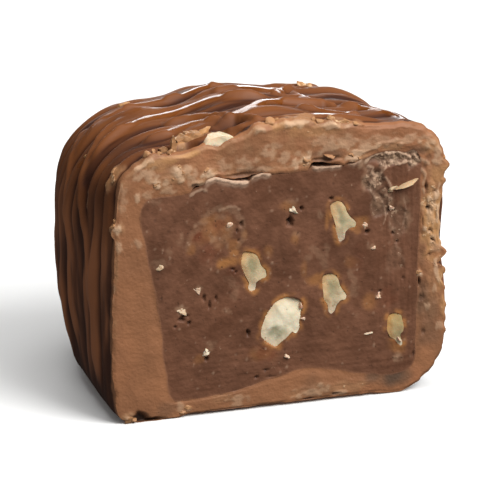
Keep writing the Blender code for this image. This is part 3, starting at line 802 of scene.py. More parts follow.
# Pale crumbly clumps of the cut rim.
CLUMPS = (
    (-9.4, 22.5, 1.6, 0.9, 0.9), (-10.8, 21.9, 1.1, 0.9, 0.6), (-7.4, 21.7, 0.9, 0.6, 0.8),
    (-6.4, 22.5, 0.8, 0.45, 1.0), (-11.9, 23.8, 1.3, 0.6, 0.8), (2.3, 22.8, 0.8, 0.8, 0.9),
    (1.2, 26.3, 1.9, 0.6, 0.8), (-2.3, 26.1, 0.8, 0.5, 0.8), (5.0, 25.9, 1.9, 0.5, 0.8),
    (7.4, 22.7, 1.2, 1.0, 0.7), (10.2, 23.4, 2.2, 0.6, 0.8), (3.6, 24.3, 1.8, 0.9, 0.35),
    (-15.0, 18.0, 0.7, 0.7, 0.9), (14.4, 17.0, 1.3, 3.9, 1.0), (14.6, 21.0, 1.2, 1.2, 0.45),
    (14.3, 9.0, 1.3, 3.4, 0.4), (4.6, 1.2, 5.2, 0.8, 0.5), (-5.2, 1.5, 1.6, 0.7, 0.35),
    (-14.2, 0.6, 0.8, 0.6, 0.8),
)


def rim_relief(points, to_fudge, to_outside, marks):
    """How far the cut face of the coating lies behind (plus) or before (minus) the plane of the cut."""
    x, z = points[..., 0], points[..., 2]
    patches, pale_strokes, shaded_dents = marks
    within = smoothstep(0.0, 0.25, to_fudge) * smoothstep(0.0, 0.2, to_outside)
    at_right = smoothstep(12.4, 13.6, x) * smoothstep(4.0, 9.0, z) * fall(20.5, 22.5, z)
    at_top = smoothstep(20.4, 22.4, z) * (1.0 - at_right)
    rough, broad = crags(points, 0.9, 5.0), lumps(points, 2.4, 8.0)
    holes = smoothstep(0.15, 0.5, lumps(points, 0.5, 7.0))
    relief = 0.03 * rough + 0.05 * broad
    relief += at_right * (0.05 * rough + 0.07 * holes * smoothstep(-0.1, 0.3, lumps(points, 1.7, 7.5)))
    relief += at_top * (0.025 * rough + 0.05 * broad)
    relief += spots(points, CLUMPS, 9.5) * (0.08 * crags(points, 0.5, 5.5) - 0.05 + 0.04 * holes)
    relief -= 0.08 * patches + 0.09 * pale_strokes
    relief += (0.5 - 0.35 * smoothstep(20.0, 21.0, z) * smoothstep(11.0, 12.0, x)) * shaded_dents
    raised_lip = np.exp(-((to_fudge - 0.3) / 0.25) ** 2) * at_top * fall(6.0, 8.0, x)
    return relief * within + (0.04 - 0.1 * raised_lip) * fall(0.3, 0.9, to_fudge)


def rim_crumble(points, to_outside):
    """Where the cut coating is pale and crumbly."""
    x, z = points[..., 0], points[..., 2]
    clumps = spots(points, CLUMPS, 9.5, ragged=0.5, grain=0.7, soft=0.7)
    at_top = smoothstep(21.0, 22.5, z) * fall(8.0, 11.0, x)
    broken = smoothstep(-0.1, 0.35, lumps(points, 0.8, 11.0))
    outer = fall(0.1, 0.55, to_outside) * smoothstep(4.0, 12.0, z)
    return np.clip(np.maximum.reduce([clumps, 0.35 * at_top * broken, 0.6 * outer * broken]), 0.0, 1.0)


# ---------------------------------------------------------------- fudge

# Pits in the cut fudge, also painted with shade: x, z, half width, half height, depth.
PITS = (
    (0.85, 17.3, 0.42, 0.6, 0.6), (1.9, 18.4, 0.2, 0.3, 0.35), (-3.1, 7.3, 0.3, 0.42, 0.5),
    (-9.3, 9.2, 0.5, 0.3, 0.4), (-8.6, 8.8, 0.25, 0.3, 0.3), (-7.0, 5.3, 0.3, 0.25, 0.35),
    (-7.2, 11.0, 0.22, 0.5, 0.25), (-6.7, 10.3, 0.2, 0.5, 0.25), (-6.1, 10.9, 0.18, 0.35, 0.2),
    (8.1, 15.6, 0.34, 0.28, 0.35), (10.6, 15.2, 0.3, 0.22, 0.25), (11.0, 14.4, 0.2, 0.25, 0.2),
    (4.7, 19.0, 0.3, 0.24, 0.3), (-3.7, 17.5, 0.26, 0.4, 0.3), (-4.1, 16.9, 0.14, 0.3, 0.2),
    (-4.0, 16.0, 0.16, 0.2, 0.2), (-4.5, 13.4, 0.4, 0.2, 0.22), (-4.2, 13.1, 0.16, 0.2, 0.2),
    (-9.0, 9.5, 0.5, 0.24, 0.35), (-9.9, 8.6, 0.2, 0.2, 0.25), (9.4, 9.9, 0.22, 0.18, 0.2),
    (11.6, 10.9, 0.2, 0.24, 0.2), (-1.4, 3.6, 0.5, 0.16, 0.2), (-0.9, 2.9, 0.6, 0.14, 0.2),
    (-2.3, 3.0, 0.3, 0.2, 0.2), (5.6, 15.0, 0.24, 0.18, 0.25), (12.7, 3.6, 0.25, 0.4, 0.25),
)
# Caramel stains in the fudge: x, z, half width, half height, strength.
STAINS = (
    (-5.0, 14.1, 1.3, 0.7, 1.0), (-4.3, 14.9, 0.7, 0.5, 0.7), (-7.0, 18.2, 1.0, 0.5, 0.45),
    (-3.4, 16.6, 0.5, 0.9, 0.45), (-8.4, 15.6, 0.6, 0.8, 0.4), (2.2, 12.6, 0.5, 0.9, 0.4),
    (4.3, 17.4, 0.35, 1.4, 0.8), (7.1, 15.9, 0.5, 0.6, 0.5), (3.1, 11.6, 1.1, 0.8, 0.7),
    (1.3, 15.7, 0.8, 0.7, 0.6), (7.6, 16.6, 1.2, 0.7, 0.6), (-6.3, 17.1, 2.4, 2.0, 0.4),
    (-4.4, 15.6, 0.9, 0.8, 0.4), (-1.6, 5.2, 1.8, 1.1, 0.4), (8.2, 9.0, 1.3, 1.0, 0.45),
    (10.9, 4.4, 1.1, 0.9, 0.5), (0.6, 18.9, 1.2, 0.8, 0.45), (-1.1, 14.7, 0.7, 0.9, 0.4),
    (-7.6, 5.4, 0.9, 0.7, 0.3), (6.6, 13.0, 0.8, 1.0, 0.25),
)
# Pale smudges of fat and nut meal.
SMUDGES = (
    (-11.3, 14.6, 1.0, 0.9, 0.35), (12.1, 16.4, 0.5, 2.0, 0.45), (11.6, 18.2, 0.8, 0.9, 0.3),
    (9.2, 18.2, 0.7, 0.9, 0.5), (10.3, 17.9, 0.5, 0.6, 0.5), (11.2, 3.4, 0.7, 0.6, 0.7),
    (-11.6, 20.2, 0.9, 0.5, 0.3), (7.6, 22.0, 0.6, 0.7, 0.8), (7.9, 20.6, 0.5, 1.4, 0.5),
    (-10.4, 15.5, 0.5, 0.7, 0.3), (-7.6, 11.9, 0.5, 0.5, 0.6), (-9.3, 10.1, 0.65, 0.6, 0.8),
    (-6.7, 6.6, 0.7, 0.8, 0.45), (-5.0, 9.6, 0.6, 0.5, 0.25), (-4.8, 17.3, 0.5, 0.5, 0.6),
    (-6.2, 16.3, 0.5, 0.5, 0.5), (-5.6, 18.3, 0.9, 0.5, 0.3), (-7.9, 17.8, 0.3, 0.4, 0.55),
    (-9.2, 17.0, 0.35, 0.6, 0.35), (-5.0, 15.6, 0.3, 0.6, 0.35), (-1.2, 14.6, 0.3, 0.4, 0.4),
    (2.6, 13.6, 0.5, 0.6, 0.3), (4.3, 14.2, 0.5, 0.9, 0.3), (1.4, 16.0, 0.5, 0.6, 0.35),
    (3.6, 17.6, 0.5, 0.6, 0.35), (1.0, 19.1, 0.9, 0.5, 0.35), (8.6, 14.2, 0.5, 0.3, 0.5),
    (6.9, 10.3, 0.6, 0.9, 0.3), (11.2, 3.7, 0.7, 0.5, 0.4), (9.4, 9.5, 0.5, 0.4, 0.5),
    (7.2, 7.9, 0.4, 0.4, 0.25), (10.4, 17.6, 0.35, 0.3, 0.4), (-13.2, 16.4, 0.5, 0.6, 0.3),
    (-9.4, 16.4, 0.5, 0.5, 0.25), (-2.4, 5.6, 0.8, 0.4, 0.15),
)
TORN_PLACES = (
    (10.3, 22.5, 3.2, 1.1, 1.0), (12.7, 22.3, 1.4, 1.2, 1.0), (8.7, 20.4, 1.2, 1.9, 0.9),
    (9.5, 18.4, 1.1, 1.8, 0.7), (10.9, 16.2, 1.2, 2.2, 0.5), (10.8, 12.8, 1.1, 1.6, 0.3),
)
# Pale fringes and fibres of the fudge.
FRINGES = (
    (((7.9, 22.1), (8.5, 22.5), (9.0, 22.7), (9.6, 22.95), (10.2, 22.75)), 0.16, 0.9),
    (((10.1, 22.6), (10.6, 22.75), (11.1, 22.8), (11.6, 22.45), (12.1, 22.15)), 0.2, 1.0),
    (((10.5, 21.9), (11.1, 21.65), (11.7, 21.85), (12.2, 21.7)), 0.15, 0.9),
    (((9.7, 22.1), (9.9, 21.6), (9.6, 21.2)), 0.1, 0.6),
    (((8.1, 21.7), (8.6, 21.5), (8.5, 21.0)), 0.14, 0.6),
    (((8.7, 21.1), (9.1, 20.6), (9.4, 20.9)), 0.14, 0.6),
    (((9.8, 20.5), (10.2, 20.0), (10.3, 19.5)), 0.12, 0.55),
    (((8.4, 20.2), (8.5, 19.4), (8.9, 18.7)), 0.12, 0.45),
    (((12.4, 22.4), (12.9, 21.9), (13.3, 21.7)), 0.14, 0.7),
    (((9.6, 18.3), (9.9, 17.2), (9.7, 16.2)), 0.1, 0.35),
    (((11.6, 18.4), (11.8, 17.2), (11.6, 15.8)), 0.1, 0.25),
    (((-8.4, 20.6), (-7.8, 20.9), (-7.2, 21.0), (-6.9, 20.8)), 0.16, 0.55),
    (((-5.7, 19.0), (-4.6, 19.2), (-3.9, 18.9)), 0.16, 0.3),
)
# Pale lips of the fudge's top edge beside the cracks: from x, to x, thickness, strength.
LIPS = (
    (-7.0, -2.95, 0.42, 1.0),
    (-2.75, -0.9, 0.3, 0.85),
    (2.95, 5.7, 0.26, 0.75),
    (6.3, 7.6, 0.22, 0.4),
)
# A ring of caramel smears round the middle of the upper left.
SMEARS = (
    (((-7.3, 18.0), (-6.6, 18.9), (-5.4, 19.2), (-4.4, 18.7), (-3.7, 17.9)), 0.36, 0.32),
    (((-3.6, 17.4), (-3.5, 16.4), (-4.0, 15.4)), 0.3, 0.25),
    (((-7.6, 17.4), (-8.3, 16.8), (-8.8, 15.9)), 0.34, 0.25),
    (((-6.6, 16.6), (-5.9, 15.9), (-5.2, 16.4), (-4.6, 17.0)), 0.34, 0.22),
    (((-4.9, 12.6), (-4.3, 11.6), (-4.4, 10.8)), 0.4, 0.2),
    (((3.0, 14.6), (3.6, 13.9), (4.2, 13.0)), 0.4, 0.25),
    (((6.6, 12.0), (6.9, 11.0), (6.7, 10.0)), 0.4, 0.3),
)
REDDENED = (
    (-7.7, 16.8, 1.3, 0.8, 1.0), (-5.9, 17.6, 0.9, 0.8, 0.6), (-6.6, 14.9, 1.6, 1.0, 0.5),
    (-6.8, 15.4, 0.9, 0.9, 0.6), (-1.6, 5.2, 1.9, 1.0, 0.7), (9.9, 9.2, 1.4, 1.8, 0.4),
    (-2.0, 14.7, 0.7, 0.6, 0.5), (11.2, 5.1, 0.6, 0.5, 0.8), (-4.6, 13.2, 0.8, 1.0, 0.4),
    (7.2, 13.0, 1.0, 2.0, 0.25),
)
FUDGE_MASKS = ("torn", "stain", "reddened", "smeared", "pale", "lip", "dark", "border", "level_cut",
               "upright_cut")
SPECK_COUNT = 130
UPRIGHT_STREAKS = np.array([3.0, 1.0, 0.25])
LEVEL_STREAKS = np.array([0.2, 1.0, 3.0])
NUT_SEAT_DEPTH = 0.75
LIP_HEIGHT = 0.16


def scattered_specks():
    """Small grains all over the fudge, as (x, z, half width, half height, strength)."""
    specks = []
    for _ in range(SPECK_COUNT):
        x, z = rng.uniform(-12.5, 13.0), rng.uniform(2.5, 21.5)
        size = rng.uniform(0.09, 0.2)
        specks.append((x, z, size, size * rng.uniform(0.7, 1.5), rng.uniform(0.3, 0.9)))
    return specks


def torn_fibres(points):
    """Rough fibres that slant across the torn places."""
    x, y, z = np.moveaxis(points, -1, 0)
    return crags(np.stack([x * 1.8 + z * 1.2, y, z * 0.6 - x * 0.5], axis=-1), 1.2, 15.0)


def face_relief(points, marks):
    """How far the cut fudge lies behind the plane of the cut."""
    x, z = points[..., 0], points[..., 2]
    torn = marks["torn"]
    relief = 0.04 * lumps(points, 2.0, 11.0) + 0.03 * crags(points, 0.7, 12.0)
    relief += 0.035 * smoothstep(7.0, 11.0, x) * lumps(points * UPRIGHT_STREAKS, 0.9, 13.0)
    relief += 0.025 * fall(4.0, 7.0, z) * lumps(points * LEVEL_STREAKS, 0.9, 14.0)
    relief += torn * (0.16 + 0.2 * marks["fibres"] + 0.08 * crags(points, 0.5, 16.0))
    relief += marks["pits"] + 0.03 * (marks["dark_specks"] - marks["pale_specks"])
    return relief - 0.14 * marks["fringes"] * (0.5 + 0.5 * torn)


def lips_of_fudge(points, to_edge):
    """Pale, raised lip along the top edge of the fudge, ragged below and broken here and there."""
    x, z = points[..., 0], points[..., 2]
    ragged = to_edge + 0.14 * lumps(points, 0.35, 27.0) + 0.2 * lumps(points, 0.9, 27.5)
    total = np.zeros(x.shape)
    for start, end, thick, strength in LIPS:
        along = smoothstep(start - 0.2, start + 0.2, x) * fall(end - 0.3, end + 0.1, x)
        crest = fall(0.3 * thick, 1.1 * thick, ragged)
        skirt = 0.3 * fall(0.8 * thick, 2.0 * thick, ragged)
        total = np.maximum(total, strength * along * np.maximum(crest, skirt))
    return total * smoothstep(18.0, 20.0, z)


def coons_patch(section, columns, rows):
    """Grid of points that fills a section, with the section's corners at the grid's corners."""
    def run(start, end, count):
        return evenly_spaced(np.roll(section, -start, axis=0)[:(end - start) % len(section) + 1], count,
                             closed=False)

    right_low, right_high, left_high, left_low = (
        int(np.argmin(np.linalg.norm(section - np.array(corner), axis=1))) for corner in FUDGE_CORNERS)
    right = run(right_low, right_high, rows + 1)
    top = run(right_high, left_high, columns + 1)[::-1]
    left = run(left_high, left_low, rows + 1)[::-1]
    foot = run(left_low, right_low, columns + 1)
    p = np.linspace(0.0, 1.0, columns + 1)[None, :, None]
    q = np.linspace(0.0, 1.0, rows + 1)[:, None, None]
    blend = (1 - q) * foot[None] + q * top[None] + (1 - p) * left[:, None] + p * right[:, None]
    ends = (1 - p) * (1 - q) * foot[0] + p * (1 - q) * foot[-1] + (1 - p) * q * top[0] + p * q * top[-1]
    return blend - ends


def fudge_marks(points, to_edge):
    """The marks of the cut fudge, which both its relief and its colour follow."""
    pale_specks, dark_specks = (spots(points, scattered_specks(), seed, ragged=0.4, grain=0.2, soft=0.8)
                                for seed in (20.0, 21.0))
    return {
        "torn": spots(points, TORN_PLACES, 17.0, ragged=0.5, grain=1.2, soft=0.35),
        "pits": spots(points, PITS, 19.0, ragged=0.35, grain=0.3, soft=1.0),
        "pale_specks": pale_specks,
        "dark_specks": dark_specks,
        "fringes": strokes(points, FRINGES, 26.0, ragged=0.9, grain=0.3),
        "fibres": torn_fibres(points),
        "lips": lips_of_fudge(points, to_edge),
    }


def fudge_masks(points, marks, to_edge, to_nut):
    """Masks of the cut fudge."""
    torn, fibres = marks["torn"], marks["fibres"]
    halo = fall(0.05, 0.6, to_nut) * smoothstep(-0.4, 0.3, lumps(points, 0.9, 23.0))
    smears = strokes(points, SMEARS, 28.0, ragged=0.9)
    return {
        "torn": torn,
        "stain": np.maximum(spots(points, STAINS, 18.0, ragged=0.5, grain=0.9, soft=0.8), halo),
        "reddened": spots(points, REDDENED, 29.0, ragged=0.6, grain=0.8, soft=0.9),
        "smeared": np.maximum(smears, spots(points, SMUDGES, 22.0, ragged=0.6, grain=0.4, soft=0.9)),
        "lip": marks["lips"],
        # Pale fringes and specks, and painted light on the torn fibres that stand forward.
        "pale": np.maximum.reduce([marks["fringes"], 0.4 * marks["pale_specks"],
                                   0.75 * torn * smoothstep(-0.1, -0.7, fibres)]),
        # Painted shade in the pits and in the grooves between torn fibres, with the fudge's own dark
        # specks.
        "dark": np.maximum.reduce([np.clip(2.0 * marks["pits"], 0.0, 1.0), 0.6 * marks["dark_specks"],
                                   0.4 * torn * smoothstep(0.3, 0.8, fibres)]),
        "level_cut": fall(3.5, 7.5, points[..., 2]),
        "upright_cut": smoothstep(7.5, 11.0, points[..., 0]) * smoothstep(5.0, 8.0, points[..., 2]),
        "border": fall(0.0, 0.3, to_edge + 0.15 * lumps(points, 0.9, 25.0)),
    }


def make_fudge():
    """The fudge: a fine sheet for the cut face, pulled back in steps to its rounded rear."""
    section = fudge_outline(FACE_OUTLINE)
    flat = standing(coons_patch(section, FACE_COLUMNS, FACE_ROWS), CUT_Y + FACE_SET_BACK)
    nut_edges = [nut_outline(name) for name in NUT_CORNERS if name != "nut_rim"]
    to_edge, to_nut = distance_to(section[::4], flat), distance_to(np.concatenate(nut_edges), flat)
    marks = fudge_marks(flat, to_edge)
    points = flat.copy()
    points[..., 1] += smoothstep(0.0, 0.5, to_edge) * face_relief(flat, marks)
    seats = np.any([within_outline(edge, flat) for edge in nut_edges], axis=0)
    points[..., 1] += NUT_SEAT_DEPTH * seats * smoothstep(0.02, 0.3, to_nut) - LIP_HEIGHT * marks["lips"]
    fudge = add_sheet("fudge_block", FACE_COLUMNS, FACE_ROWS)
    place_vertices(fudge, points)
    for name, mask in fudge_masks(flat, marks, to_edge, to_nut).items():
        add_mask(fudge, name, mask)
    start_edit(fudge)
    bpy.ops.mesh.select_non_manifold()
    stations = [(FUDGE_DEPTH * part, float(closing(part)) * (1.0 - FUDGE_TAPER * part))
                for part in FUDGE_STATIONS]
    pull_back((points.reshape(-1, 3).mean(axis=0) + SHIFT) * MM, stations)
    bpy.ops.mesh.edge_face_add()
    end_edit()
    shade(fudge, 70.0)
    return fudge


def extrude_backwards(distance):
    """Extrudes the selection away from the cut, by a distance in millimetres."""
    bpy.ops.mesh.extrude_region_move(TRANSFORM_OT_translate={"value": (0.0, distance * MM, 0.0)})


def pull_back(centre, stations):
    """Extrudes the selected edges to each station (depth in millimetres, size against the first)."""
    last_depth, last_size = 0.0, 1.0
    for depth, size in stations:
        extrude_backwards(depth - last_depth)
        ratio = size / last_size
        bpy.ops.transform.resize(value=(ratio, 1.0, ratio), center_override=tuple(centre))
        last_depth, last_size = depth, size


# ---------------------------------------------------------------- nuts

# Corners of the chopped nuts at the cut, as (x, z).
NUT_CORNERS = {
    "nut_large": (
        (-1.9, 7.2), (-1.6, 8.25), (-1.2, 9.1), (-0.6, 9.8), (0.25, 10.25), (1.1, 10.2),
        (2.0, 9.75), (2.1, 9.2), (1.85, 8.4), (1.75, 7.7), (1.75, 7.05), (1.4, 6.75), (1.0, 6.95),
        (0.5, 6.45), (0.0, 6.0), (-0.3, 5.6), (-0.8, 5.75), (-1.75, 6.6)),
    "nut_upper_right": (
        (4.6, 18.4), (5.1, 18.75), (5.7, 18.6), (6.05, 18.1), (6.4, 17.3), (7.0, 16.7),
        (6.95, 16.25), (6.45, 16.1), (6.05, 15.8), (5.9, 15.05), (5.45, 15.0), (5.25, 15.7),
        (5.05, 16.7), (4.75, 17.6)),
    "nut_left": (
        (-3.55, 14.85), (-2.9, 14.85), (-2.3, 14.5), (-1.85, 13.5), (-1.35, 12.9), (-1.35, 12.4),
        (-1.85, 12.25), (-2.3, 11.95), (-2.4, 11.25), (-2.85, 11.15), (-3.05, 11.5), (-3.05, 12.1),
        (-3.45, 12.9), (-3.7, 13.8)),
    "nut_middle_right": (
        (3.9, 11.8), (4.3, 12.05), (4.9, 12.0), (5.35, 11.5), (5.65, 10.7), (6.2, 9.95), (6.1, 9.5),
        (5.6, 9.45), (5.25, 9.0), (5.1, 8.4), (4.75, 8.25), (4.5, 8.5), (4.4, 9.1), (4.05, 9.8),
        (3.95, 10.9)),
    "nut_lower_right": (
        (10.35, 7.55), (10.9, 7.65), (11.45, 7.4), (11.65, 6.7), (11.7, 5.95), (11.4, 5.6),
        (11.5, 5.25), (11.65, 4.65), (11.4, 4.55), (11.05, 4.95), (10.75, 5.25), (10.35, 5.6),
        (10.15, 6.1), (10.15, 7.0)),
    "nut_rim": (
        (-6.95, 24.8), (-6.7, 25.3), (-6.1, 25.55), (-5.3, 25.65), (-4.5, 25.5), (-4.0, 25.1),
        (-4.9, 24.85), (-6.2, 24.7)),
}
BROWNED_NUTS = {"nut_large": 0.0, "nut_rim": 0.1, "nut_left": 0.65, "nut_lower_right": 0.9}
# Darker places of the nuts, partly their see-through flesh and partly painted shade on their facets: x, z,
# half width, half height, strength.
NUT_SHADOWS = (
    (-0.35, 7.1, 1.3, 0.9, 1.0), (1.2, 8.0, 0.7, 1.1, 0.35), (-0.6, 9.2, 0.8, 0.6, 0.3),
    (5.7, 17.2, 0.7, 1.2, 0.8), (5.6, 16.1, 0.4, 0.6, 0.5), (-2.7, 13.6, 0.8, 1.1, 0.8),
    (4.8, 10.9, 0.8, 1.2, 0.8), (11.2, 5.7, 0.5, 0.4, 0.9), (-5.4, 25.3, 1.0, 0.4, 0.3),
)
NUT_PROUD = 0.05
NUT_RIM_BEHIND = 0.2
# Rings that fill the face, by size; then depth and size of each step to the back of the chip.
NUT_RINGS = (0.9, 0.78, 0.64, 0.5, 0.36, 0.22, 0.1)
NUT_STATIONS = ((0.25, 1.02), (0.6, 1.0), (1.2, 0.94), (1.9, 0.8), (2.4, 0.5))
# Facets of a chip: direction in which it falls back, and how steeply.
FACET_SLOPES = ((0.4, 0.2), (2.3, 0.16), (3.6, 0.24), (5.2, 0.14))


def nut_outline(name):
    return smooth_curve(NUT_CORNERS[name], NUT_STEPS, closed=True)


NUT_MASKS = ("browning_and_shade", "rind", "shadow", "rosy")


def make_nut(name):
    """A chopped nut: its outline filled in rings, pulled back to a chip, then broken a little."""
    path = nut_outline(name)
    x, z = path.mean(axis=0)
    front = CUT_Y + (NUT_RIM_BEHIND if name == "nut_rim" else -NUT_PROUD)
    middle = np.array([x, front, z])
    clear_selection()
    bpy.ops.mesh.primitive_circle_add(vertices=len(path), radius=1.0, fill_type="NOTHING")
    nut = bpy.context.object
    nut.name = nut.data.name = name + "_chip"
    place_vertices(nut, standing(path, front))
    start_edit(nut)
    bpy.ops.mesh.select_all(action="SELECT")
    pull_back((middle + SHIFT) * MM, [(0.0, size) for size in NUT_RINGS])
    bpy.ops.mesh.edge_face_add()
    bpy.ops.mesh.select_all(action="DESELECT")
    bpy.ops.mesh.select_non_manifold()
    pull_back((middle + SHIFT) * MM, NUT_STATIONS)
    bpy.ops.mesh.edge_face_add()
    end_edit()
    break_and_mark(nut, name, path, middle)
    shade(nut, 30.0)
    return nut


def break_and_mark(nut, name, path, middle):
    """Breaks a chip into facets, and marks it where it is browned, shadowed, rosy or has its rind, with
    painted shade towards its top.
    """
    points = vertex_places(nut)
    seed = 0.37 * sum(ord(letter) for letter in name)
    x, behind, z = (points - middle).T
    size = np.ptp(path, axis=0).mean() / 2.0
    worn = np.zeros(len(points))
    for turn, slope in FACET_SLOPES:
        across = x * math.cos(turn + seed) + z * math.sin(turn + seed)
        worn = np.maximum(worn, slope * (across - 0.35 * size))
    shove = 0.07 * np.stack([lumps(points, 0.6, seed + k) for k in range(3)], axis=1)
    shove[:, 1] += fall(0.0, 0.6, behind) * worn
    place_vertices(nut, points + shove)
    edge = distance_to(path, points) + 0.15 * lumps(points, 0.8, seed)
    browning_and_shade = BROWNED_NUTS.get(name, 0.6)
    upwards = (points[:, 2] - path[:, 1].min()) / np.ptp(path[:, 1])
    tip = fall(0.05, 0.3, upwards) * (name != "nut_large")
    at_left = 0.35 * (1.0 - browning_and_shade) + smoothstep(0.5, -0.7, x / size)
    # Painted shade: browner towards the top of each chip; paler at its lower tip.
    marks = (np.clip(browning_and_shade + 0.4 * (upwards - 0.45) - 0.5 * tip, 0.0, 1.0),
             np.clip(at_left, 0.0, 1.0) * fall(0.1, 0.8, edge),
             spots(points, NUT_SHADOWS, 33.0, ragged=0.5, soft=0.8), 0.3 * tip)
    for mask, values in zip(NUT_MASKS, marks):
        add_mask(nut, mask, values)


# Nut and caramel crumbs at the cut: x, z, length, height, turn in degrees, standing out, browned, rosy.
NUT_CRUMBS = (
    (1.05, 18.35, 0.85, 0.6, -35.0, 0.06, 0.0, 0.35), (-4.8, 17.35, 0.6, 0.55, 0.0, 0.0, 0.2, 0.9),
    (7.95, 16.25, 1.0, 0.7, -35.0, 0.02, 0.2, 0.9), (8.8, 14.1, 0.5, 0.3, 20.0, 0.0, 0.2, 0.8),
    (-7.75, 11.7, 0.8, 0.6, -30.0, 0.02, 0.2, 0.85), (-9.3, 10.1, 0.95, 0.9, 20.0, 0.02, 0.5, 0.45),
    (-6.95, 5.9, 0.8, 0.7, -50.0, 0.08, 0.0, 0.3), (0.6, 4.65, 0.6, 0.4, 0.0, 0.03, 0.0, 0.75),
    (8.4, 6.0, 0.62, 0.42, 5.0, 0.03, 0.0, 0.6), (9.3, 9.5, 0.65, 0.5, 10.0, 0.0, 0.2, 0.95),
    (10.45, 17.6, 0.5, 0.35, -20.0, 0.02, 0.2, 0.95), (11.3, 5.05, 0.6, 0.35, -40.0, 0.06, 0.0, 0.8),
    (-11.3, 14.3, 0.8, 0.7, 50.0, -0.04, 0.7, 0.3), (2.2, 8.15, 0.55, 0.35, 0.0, 0.0, 0.1, 0.95),
    (1.9, 9.4, 0.3, 0.5, 0.0, -0.02, 0.1, 0.95), (11.7, 19.65, 2.2, 0.26, 19.0, 0.10, 0.8, 0.3),
    (10.45, 19.3, 0.9, 0.36, 25.0, 0.06, 0.6, 0.3), (13.2, 11.2, 0.55, 0.4, 30.0, 0.03, 0.1, 0.8),
)


CRUMB_FACES = 9


def add_crumb(centre, lengths, axes, seed):
    """One broken crumb, as a small faceted lump of these three lengths along these three directions."""
    clear_selection()
    bpy.ops.mesh.primitive_ico_sphere_add(subdivisions=3, radius=0.5)
    crumb = bpy.context.object
    chance = random.Random(int(seed * 1000))
    faces = [Vector([chance.gauss(0.0, 1.0) for _ in range(3)]).normalized() for _ in range(CRUMB_FACES)]
    away = Vector((seed, 0.0, 0.0))
    for vertex in crumb.data.vertices:
        direction = vertex.co.normalized()
        push = 0.86 / max(0.5, max(direction.dot(face) for face in faces))
        push += 0.28 * noise.noise(direction * 1.8 + away) + 0.13 * noise.noise(direction * 5.0 + away)
        local = [part * length * push for part, length in zip(vertex.co, lengths)]
        place = centre + sum(axis * part for axis, part in zip(axes, local))
        place[2] = max(place[2], 0.0)
        vertex.co = Vector(place * MM)
    return crumb


def add_cut_crumb(x, z, length, height, turn, behind, seed):
    """A crumb at the cut. Behind gives its middle: a share of its thickness, and a distance more."""
    thick = 0.5 * (length + height)
    centre = np.array([x, CUT_Y + behind[0] * thick + behind[1], z]) + SHIFT
    axes = turned((1.0, 0.0, 0.0), (0.0, -1.0, 0.0), turn)
    return add_crumb(centre, (length, height, thick), axes, seed)


def turned(across, out, degrees):
    """Three directions: across turned about the outward one, the one behind it, and outwards."""
    out = np.asarray(out) / np.linalg.norm(out)
    across = np.asarray(across) - out * np.dot(across, out)
    across = across / np.linalg.norm(across)
    along = np.cross(out, across)
    turn = math.radians(degrees)
    first = across * math.cos(turn) + along * math.sin(turn)
    return first, np.cross(out, first), out


def join_as(name, pieces):
    clear_selection()
    for piece in pieces:
        piece.select_set(True)
    bpy.context.view_layer.objects.active = pieces[0]
    bpy.ops.object.join()
    joined = bpy.context.object
    joined.name = joined.data.name = name
    return joined


def make_nut_crumbs():
    crumbs = []
    for number, (x, z, length, height, turn, proud, browning_and_shade, rosy) in enumerate(NUT_CRUMBS):
        crumb = add_cut_crumb(x, z, length, height, turn, (0.4, 0.05 - proud), 3.1 * number + 1.0)
        add_even_masks(crumb, NUT_MASKS, {"browning_and_shade": browning_and_shade, "rind": 0.5 * browning_and_shade, "rosy": rosy})
        crumbs.append(crumb)
    joined = join_as("nut_crumbs", crumbs)
    shade(joined, 35.0)
    return joined


# Flakes and crumbs of chocolate on the outside: round, reach, length, width, height, turn, golden.
OUTSIDE_CRUMBS = (
    (-7.6, 3.0, 1.0, 0.7, 0.6, 20.0, 1.0), (-7.0, 3.4, 0.6, 0.4, 0.4, 15.0, 0.8),
    (-2.6, 0.35, 0.8, 0.6, 0.5, 10.0, 0.2), (-1.8, 0.45, 0.4, 0.3, 0.25, 50.0, 0.2),
    (1.5, 0.5, 0.5, 0.4, 0.4, 30.0, 0.5), (2.1, 0.3, 0.6, 0.45, 0.45, 30.0, 0.5),
    (2.9, 0.25, 0.45, 0.4, 0.4, 0.0, 0.6), (3.5, 0.6, 0.6, 0.45, 0.45, 70.0, 0.5),
    (4.1, 0.2, 0.5, 0.4, 0.4, 15.0, 0.6), (4.7, 0.4, 0.55, 0.4, 0.4, 0.0, 0.5),
    (5.4, 0.15, 0.35, 0.3, 0.3, 0.0, 0.5), (-13.9, 0.3, 0.6, 0.5, 0.4, 20.0, 0.2),
    (-13.3, 0.5, 0.5, 0.4, 0.4, 70.0, 0.3), (-12.0, 0.3, 0.6, 0.45, 0.4, 10.0, 0.3),
    (-12.9, 0.35, 0.5, 0.4, 0.35, 60.0, 0.3), (-11.4, 0.5, 0.35, 0.3, 0.3, 0.0, 0.3),
    (-17.3, 1.1, 0.7, 0.5, 0.3, 80.0, 0.3), (-16.6, 1.8, 0.45, 0.4, 0.25, 30.0, 0.3),
    (-21.2, 0.1, 0.5, 0.35, 0.35, 80.0, 0.4), (-20.7, 0.2, 0.35, 0.3, 0.3, 40.0, 0.4),
    (15.9, 0.25, 0.4, 0.4, 0.3, 0.0, 0.5), (25.4, 0.25, 0.5, 0.35, 0.35, 0.0, 0.7),
    (26.6, 0.2, 0.4, 0.35, 0.3, 50.0, 0.7), (-10.3, 17.2, 0.9, 0.7, 0.8, 30.0, 1.0),
    (-9.7, 17.4, 0.5, 0.4, 0.4, 0.0, 0.9), (8.0, 16.2, 0.8, 0.6, 0.8, 0.0, 0.8),
    (8.5, 15.6, 0.4, 0.4, 0.4, 30.0, 0.7), (-16.4, 9.8, 0.3, 0.3, 0.25, 0.0, 1.0),
)
